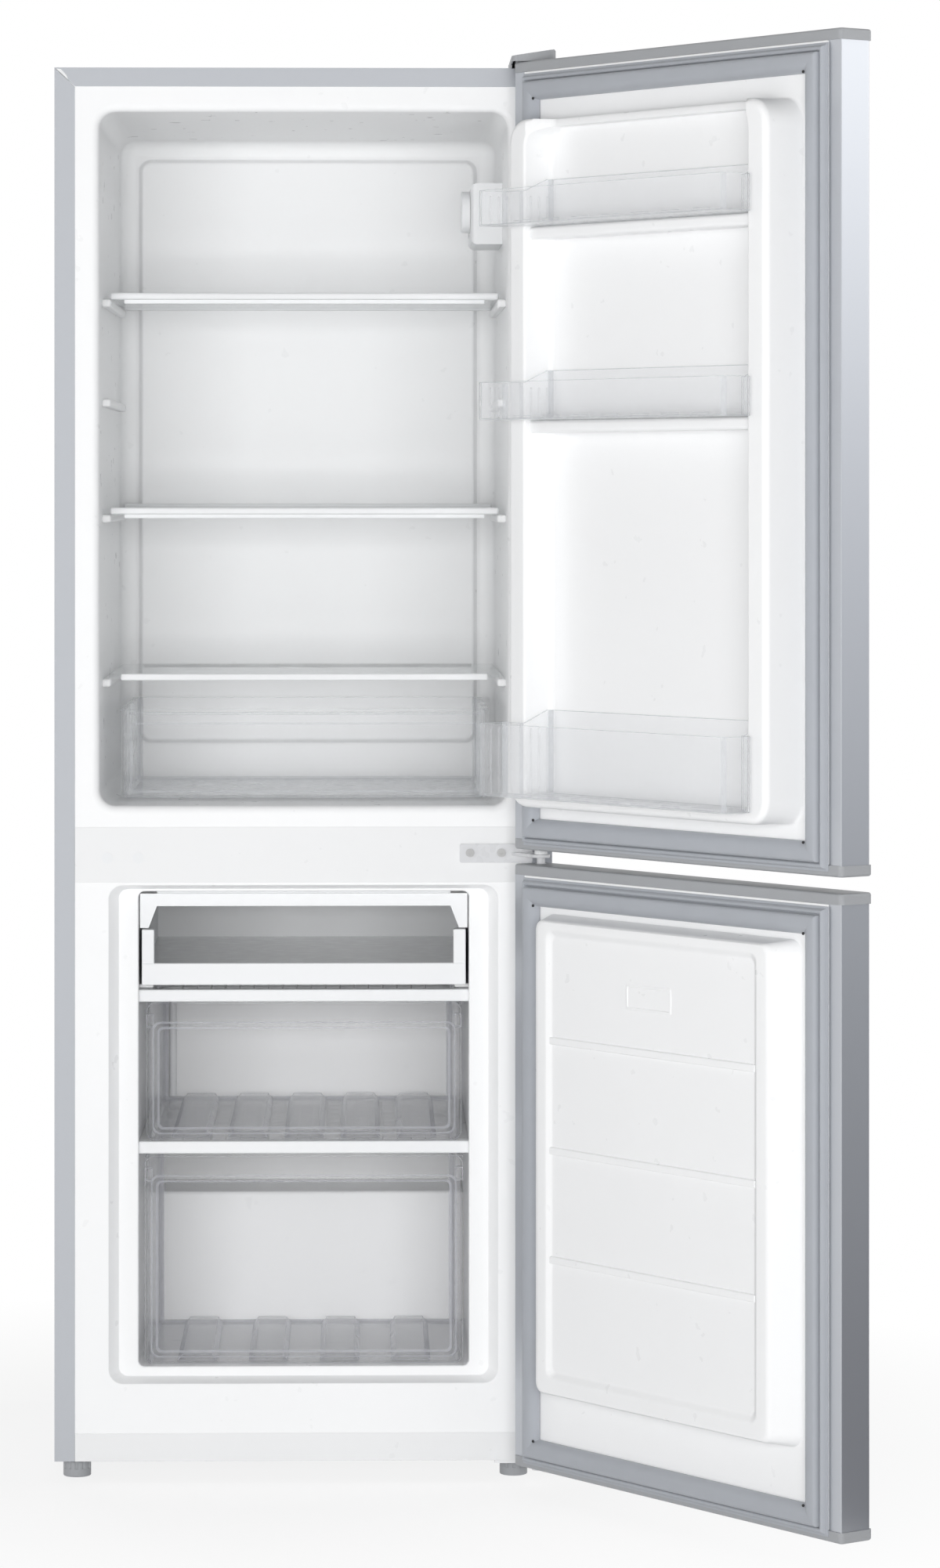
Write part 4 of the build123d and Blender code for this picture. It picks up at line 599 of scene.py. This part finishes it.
def crisper():
    """The clear crisper: body with rims, and a wide front with a sunk field and a grip lip."""
    form = bmesh.new()
    low, high = 681.7, 772.4
    open_box(form, (-184, 184), (depth(85.4), depth(396)), (low, high), 8, 2.4)
    for x in both_sides(183, 188):
        block(form, x, (depth(93), depth(388)), (high - 2.4, high), 0.8)
    front = depth(83)
    levels = plate_edge((-188, 188, low, high, 3), depth(86.2), front)
    levels += [(-178, 178, low + 5, high - 14, 5, front)]
    levels += [(-175.6, 175.6, low + 7.4, high - 16.4, 4, front + 1.8)]
    lofted(form, levels, start=True)
    block(form, (-179, 179), (depth(85), depth(97)), (high - 6, high - 3.6), 1.0)
    outwards(form)
    dressed(form, "crisper_moulding", "crisper_drawer", "clear_plastic", "crisper_drawer")


def freezer_tray():
    """The white pull-out tray: low front bar between two posts, pale grey floor on ribs."""
    form = bmesh.new()
    front, rear = depth(25), depth(386)
    low, high = 496, 552
    block(form, (-163.5, 163.5), (front, front + 4), (low, 518), 1.4)
    for post, side in zip(both_sides(151, 163.5), both_sides(161, 163.5)):
        block(form, post, (front + 0.8, front + 18), (505, high), 1.4)
        block(form, side, (front + 3, rear), (low, high), 0.8)
    block(form, (-163, 163), (rear - 2.5, rear), (low, high), 0.8)
    dressed(form, "tray_frame", "freezer_tray", "trim_white", "freezer_tray")
    form = bmesh.new()
    block(form, (-161.4, 161.4), (front + 3.6, rear - 2), (512.4, 515), 0.6)
    for number in range(9):
        y = front + 25 + number * 38
        block(form, (-158, 158), (y, y + 2.4), (506, 513), 0.6)
    dressed(form, "tray_floor", "freezer_tray", "tray_plastic")


def cover_nose():
    """The moulded nose along the front of the crisper's glass cover."""
    form = bmesh.new()
    block(form, (-187, 187), (depth(77.4), depth(84)), (801.5, 808.4), 1.6, 4)
    dressed(form, "crisper_cover_nose", "crisper_cover", "trim_white")


# ---------------------------------------------------------------- doors


def door_sheet(name, low, high):
    """The folded steel pan of a door, with rolled edges."""
    form = bmesh.new()
    side, lip, back, face = 250, 230, -252.1, -288.7
    path = ((-lip, back), (-side, back), (-side, face), (side, face), (side, back), (lip, back))
    verts = [form.verts.new((x, y, low)) for x, y in path]
    edges = [form.edges.new(pair) for pair in zip(verts, verts[1:])]
    walls = bmesh.ops.extrude_edge_only(form, edges=edges)["geom"]
    bmesh.ops.translate(form, vec=(0, 0, high - low), verts=verts_of(walls))
    upright = [edge for edge in form.edges if len(edge.link_faces) == 2]
    for radius, segments, in_front in ((4.8, 6, True), (0.9, 4, False)):
        chosen = [e for e in upright if e.is_valid and (e.verts[0].co.y < -280) == in_front]
        rounded(form, chosen, radius, segments)
    walled(form, STEEL_WALL, Vector((0, 1, 0)))
    dressed(form, f"{name}_sheet", name, "silver_paint", f"{name}_skin", on_door=True)


def door_seal(name, low, high):
    """The magnetic seal: a broad hollow fold, a groove and an outer lip, mitred at its corners."""
    form = bmesh.new()
    half = 206
    section = (
        (0.4, -250.3), (0.0, -249.2), (0.7, -247.0), (2.0, -244.4), (4.0, -242.3), (6.6, -241.0),
        (9.0, -240.5), (12.4, -240.35), (15.6, -240.5), (17.4, -241.0), (18.6, -242.4),
        (18.9, -244.6), (18.9, -249.0), (19.9, -249.0), (20.1, -246.6), (20.9, -245.4),
        (22.4, -245.0), (23.8, -245.8), (24.8, -248.0), (25.2, -249.6), (27.2, -249.9),
        (27.4, -250.8), (22.0, -250.7), (16.0, -250.6), (10.0, -250.5), (4.0, -250.4),
    )
    levels = [(-half - w, half + w, low - w, high + w, 0.6, y) for w, y in section]
    rings = lofted(form, levels, end=False, segments=2)
    bmesh.ops.bridge_loops(form, edges=rings[0] + rings[-1])
    outwards(form)
    dressed(form, f"{name}_seal", name, "gasket_grey", f"{name}_gasket", on_door=True, fold=40)
    form = bmesh.new()
    for x in (-half, half):
        for z in (low - 1.2, high + 1.2):
            spot = Matrix.Translation((x * 1.006, -242.2, z))
            made = bmesh.ops.create_icosphere(form, subdivisions=2, radius=1.5, matrix=spot)
            bmesh.ops.scale(form, vec=(1, 0.8, 1), space=spot.inverted(), verts=made["verts"])
    dressed(form, f"{name}_seal_openings", name, "black_plastic", on_door=True)


def upper_door_inside():
    """The upper door's formed liner: two walls, a low top, ledges for the bins."""
    form = bmesh.new()
    foot = (-201.5, 201.5, 681, 1363, 26, DOOR_BACK)
    levels = [(-232.6, 232.6, 648.4, 1411.6, 0.6, DOOR_BACK), foot, *turned(foot, 3, -247.9, 3)]
    crest = (-198.4, 198.4, 684.1, 1359.9, 24, -210.6)
    levels += [crest, *turned(crest, 6.4, DOOR_CREST, 5, hollow=True)]
    rim = (-174.2, 174.2, 692.6, 1355.4, (11.5, 24), DOOR_CREST)
    levels += [rim, *turned(rim, 3, DOOR_CREST - 3)]
    levels += [(-171.1, 171.1, 695.7, 1351.5, (8.2, 21), -232)]
    levels += [(-169, 169, 697.8, 1349, (7, 19), -237.2)]
    levels += [(-166, 166, 700.8, 1346, (5, 16), -238.2)]
    lofted(form, levels, segments=7)
    for side in (-1, 1):
        for x in range(side * 150, side * 171, side * 5):
            cut(form, (x, 0, 0), (1, 0, 0))
    for z in (1326, 1334):
        cut(form, (0, 0, z), (0, 0, 1))
    wall, easing, sill, back, drop = 170.5, 20, 1330, -237, 23.6
    for vert in form.verts:
        inward = min(max((wall - abs(vert.co.x)) / easing, 0), 1)
        if vert.co.z > sill and vert.co.y > back and inward > 0:
            ease = inward * inward * (3 - 2 * inward)
            top = DOOR_CREST - drop * ease
            vert.co.y = min(vert.co.y, top - (DOOR_CREST - vert.co.y) * 0.3)
    walled(form, DOOR_LINER_WALL, Vector((0, -1, 0)))
    for bin_floor in (1254, 1064):
        z = (bin_floor - 12.2, bin_floor - 0.4)
        block(form, (-175, 175), (-238.6, -210.2), z, 3.4, 4)
    dressed(
        form, "upper_door_inner_liner", "upper_door", "liner_white", "upper_door_liner",
        on_door=True,
    )


def lower_door_inside():
    """The lower door's formed liner: a raised panel, its sunk field and three low ribs."""
    form = bmesh.new()
    levels = [(-232.6, 232.6, 32.7, 611.8, 0.6, DOOR_BACK), (-201, 201, 101, 579, 17, DOOR_BACK)]
    levels += [(-197.6, 197.6, 103.4, 576.6, 15, -249.6)]
    levels += [(-181.5, 181.5, 107, 573, 11, -227.4), (-180.4, 180.4, 107.6, 572.4, 10.6, -225.3)]
    levels += [(-177.8, 177.8, 109, 571, 10, -223.6), (-174.4, 174.4, 111.6, 568.6, 9, -223.1)]
    levels += [(-163, 163, 122.4, 564.4, 9.5, -223.1), (-160.2, 160.2, 125.2, 561.8, 9, -223.6)]
    levels += [(-157.2, 157.2, 128.2, 558.8, 8, -226.2), (-154.4, 154.4, 131, 556, 7, -226.9)]
    lofted(form, levels, segments=7)
    walled(form, DOOR_LINER_WALL, Vector((0, -1, 0)))
    for z in (455, 347, 240):
        for vert in block(form, (-158, 158), (-230, -224.5), (z - 4.2, z + 4.2), 1.1):
            if vert.co.y > -227:
                vert.co.z = z + (vert.co.z - z) * 0.85
    dressed(
        form, "lower_door_inner_liner", "lower_door", "liner_white", "lower_door_liner",
        on_door=True,
    )
    form = bmesh.new()
    levels = [(-31, 39, 494.5, 520, 2.5, -227.6), (-31, 39, 494.5, 520, 2.5, -226.7)]
    levels += [(-30.2, 38.2, 495.3, 519.2, 2, -226.2), (-28.4, 36.4, 497.1, 517.4, 1.5, -226.2)]
    levels += [(-27.8, 35.8, 497.7, 516.8, 1.2, -226.8)]
    lofted(form, levels, start=True)
    outwards(form)
    dressed(form, "lower_door_embossed_field", "lower_door", "liner_white", on_door=True)


def door_bin(name, floor, rise):
    """A clear bin: narrow back part between the door's walls, wide front, higher back."""
    form = bmesh.new()
    inner = ((170, -199.5), (-170, -199.5))
    plan = (
        (-170, -236.8), (170, -236.8), inner[0], (195.8, -199.5),
        (195.8, -164.2), (-185.8, -164.2), (-185.8, -199.5), inner[1],
    )
    form.faces.new([form.verts.new((x, y, floor + 0.2)) for x, y in plan])
    for radius, is_inner in ((6.5, False), (3.0, True)):
        corners = [
            vert for vert in form.verts
            if ((round(vert.co.x, 1), round(vert.co.y, 1)) in inner) == is_inner
        ]
        rounded(form, corners, radius, 5, "VERTICES")
    base = max(form.faces, key=lambda face: face.calc_area())
    edges = list(base.edges)
    for up in (1.0, rise - 3.0, 3.0):
        grown = bmesh.ops.extrude_edge_only(form, edges=edges)["geom"]
        edges = edges_of(grown)
        bmesh.ops.translate(form, vec=(0, 0, up), verts=verts_of(grown))
    for vert in form.verts:
        if vert.co.z > floor + rise - 5 and vert.co.y < -200:
            vert.co.z += 12 * min(max((-203 - vert.co.y) / 26, 0), 1)
    walled(form, BIN_WALL, Vector((0, 0, 1)))
    folds = [
        edge for edge in form.edges
        if len(edge.link_faces) == 2 and edge.calc_face_angle() > math.radians(60)
    ]
    rounded(form, folds, 0.5, 2)
    for number in range(7):
        x = -160 + number * 46
        block(form, (x, x + 26), (-171, -168), (floor + 1.6, floor + 4), 0.8)
    for number in range(6):
        y = -230 + number * 10
        half = 168.2 if y < -201 else 194
        block(form, (half - 2.2, half), (y, y + 1.6), (floor + 2, floor + rise - 4), 0.5)
    outwards(form)
    dressed(form, f"{name}_moulding", name, "clear_plastic", name, on_door=True)


fridge_inside()
freezer_inside()
shelf_rails("upper", 1191.3)
shelf_rails("lower", 972.3)
freezer_drawer("upper_freezer_drawer", 159.5, 338, 477.6, rear=386, ridges=5)
freezer_drawer("lower_freezer_drawer", 161, 112.3, 322.6, rear=291, ridges=4)
crisper()
freezer_tray()
cover_nose()
# A painted highlight: a thin white plate at the top-left mitre of the front flanges.
mitre_painted_highlight()
door_sheet("upper_door", 648, 1412)
door_sheet("lower_door", 32.5, 612)
door_seal("upper_door", 669.5, 1382.5)
door_seal("lower_door", 54, 582.5)
upper_door_inside()
lower_door_inside()
door_bin("top_door_bin", 1254, rise=34)
door_bin("middle_door_bin", 1064, rise=36)
door_bin("bottom_door_bin", 696, rise=70)

# ---------------------------------------------------------------- camera, floor and light


def camera_like_photograph():
    """A long lens a little right of the middle, level, its frame shifted down."""
    data = bpy.data.cameras.new("camera")
    data.lens = 121.7
    data.sensor_width = 36
    data.shift_y = -0.1857
    data.clip_end = 50
    camera = bpy.data.objects.new("camera", data)
    camera.location = (0.06125, -5.5694, 0.9928)
    camera.rotation_euler = (math.radians(90), 0, math.radians(-1.14))
    bpy.context.scene.collection.objects.link(camera)
    bpy.context.scene.camera = camera


def seen_or_mirrored(tree):
    """A socket that is 1 where a background is seen direct, in gloss or through glass."""
    path = tree.nodes.new("ShaderNodeLightPath")
    value = path.outputs["Is Camera Ray"]
    for other in ("Is Glossy Ray", "Is Transmission Ray"):
        greater = tree.nodes.new("ShaderNodeMath")
        greater.operation = "MAXIMUM"
        tree.links.new(value, greater.inputs[0])
        tree.links.new(path.outputs[other], greater.inputs[1])
        value = greater.outputs[0]
    return value


def studio_world(strength):
    """Even light from all round, behind which the background is white."""
    world = bpy.data.worlds.new("studio")
    bpy.context.scene.world = world
    world.use_nodes = True
    tree = world.node_tree
    light = tree.nodes["Background"]
    white = tree.nodes.new("ShaderNodeBackground")
    for shader, brightness in ((light, strength), (white, 1)):
        shader.inputs["Color"].default_value = (1, 1, 1, 1)
        shader.inputs["Strength"].default_value = brightness
    choice = tree.nodes.new("ShaderNodeMixShader")
    tree.links.new(seen_or_mirrored(tree), choice.inputs[0])
    tree.links.new(light.outputs[0], choice.inputs[1])
    tree.links.new(white.outputs[0], choice.inputs[2])
    tree.links.new(choice.outputs[0], tree.nodes["World Output"].inputs["Surface"])


def pale_floor():
    """A wide pale floor that keeps the object's shadow and fades into the white background."""
    form = bmesh.new()
    bmesh.ops.create_grid(form, x_segments=1, y_segments=1, size=12)
    floor = as_object(form, "floor")
    finish = Finish(
        "pale_floor", Base_Color=(0.93, 0.93, 0.935), Roughness=0.9, Specular_IOR_Level=0.1
    )
    near, fade, own_share = 0.4, 1.6, 0.18
    away = finish.node("VectorMath", {0: finish.place()}, out="Value", operation="LENGTH")
    whiteness = ((away - near) * fade).limited() * own_share + (1 - own_share)
    amount = whiteness * Signal(finish, seen_or_mirrored(finish.tree))
    white = finish.node("Emission", {"Strength": 1.0, "Color": (1, 1, 1, 1)})
    surface = Signal(finish, finish.shader.outputs[0])
    finish.show(finish.node("MixShader", {0: amount, 1: surface, 2: white}))
    floor.data.materials.append(finish.material)


def mirrored_card():
    """A card on the right that only glossy surfaces show, light above and grey below."""
    form = bmesh.new()
    bmesh.ops.create_grid(form, x_segments=1, y_segments=1, size=0.5)
    bmesh.ops.scale(form, vec=(1.4, 2.2, 1), verts=form.verts)
    bmesh.ops.transform(form, matrix=PLANES["x"], verts=form.verts)
    bmesh.ops.translate(form, vec=(1.15, -0.75, 1.12), verts=form.verts)
    foot = [edge for edge in form.edges if all(vert.co.z < 0.1 for vert in edge.verts)]
    grown = bmesh.ops.extrude_edge_only(form, edges=foot)["geom"]
    bmesh.ops.translate(form, vec=(-0.55, 0, -0.016), verts=verts_of(grown))
    card = as_object(form, "mirrored_card")
    finish = Finish("card_light_above")
    low, rise = 0.05, 1.45
    stops = (
        (0.0, (0.08, 0.08, 0.088)), (0.3, (0.20, 0.205, 0.215)),
        (0.65, (0.46, 0.465, 0.48)), (1.0, (1.0, 1.0, 1.0)),
    )
    bright = finish.node("ValToRGB", {0: (finish.axis("Z") - low) / rise}, stops=stops)
    finish.show(finish.node("Emission", {"Color": bright, "Strength": 2.0}))
    card.data.materials.append(finish.material)
    for ray in ("camera", "diffuse", "transmission", "shadow", "volume_scatter"):
        setattr(card, "visible_" + ray, False)


def soft_light(name, place, target, size, power):
    """One large soft lamp that points at a place, and that no glossy surface shows."""
    data = bpy.data.lights.new(name, "AREA")
    data.shape = "RECTANGLE"
    data.size, data.size_y = size
    data.energy = power
    lamp = bpy.data.objects.new(name, data)
    lamp.location = place
    aim = Vector(target) - Vector(place)
    lamp.rotation_euler = aim.to_track_quat("-Z", "Y").to_euler()
    lamp.visible_glossy = False
    bpy.context.scene.collection.objects.link(lamp)


camera_like_photograph()
studio_world(0.22)
pale_floor()
soft_light("front", (-0.2, -5.0, 0.9), (0, 0, 0.75), size=(3.4, 1.2), power=150)
soft_light("left", (-4.3, -1.8, 1.4), (0.3, -0.3, 0.8), size=(1.6, 2.0), power=24)
soft_light("right", (4.2, 0.8, 2.0), (0.3, 0, 0.7), size=(1.6, 2.0), power=60)
soft_light("back", (-1.2, 4.8, 1.8), (0, 0, 0.7), size=(2.4, 2.0), power=90)
mirrored_card()
bpy.context.scene.cycles.transparent_max_bounces = 24
bpy.context.scene.view_settings.view_transform = "Standard"
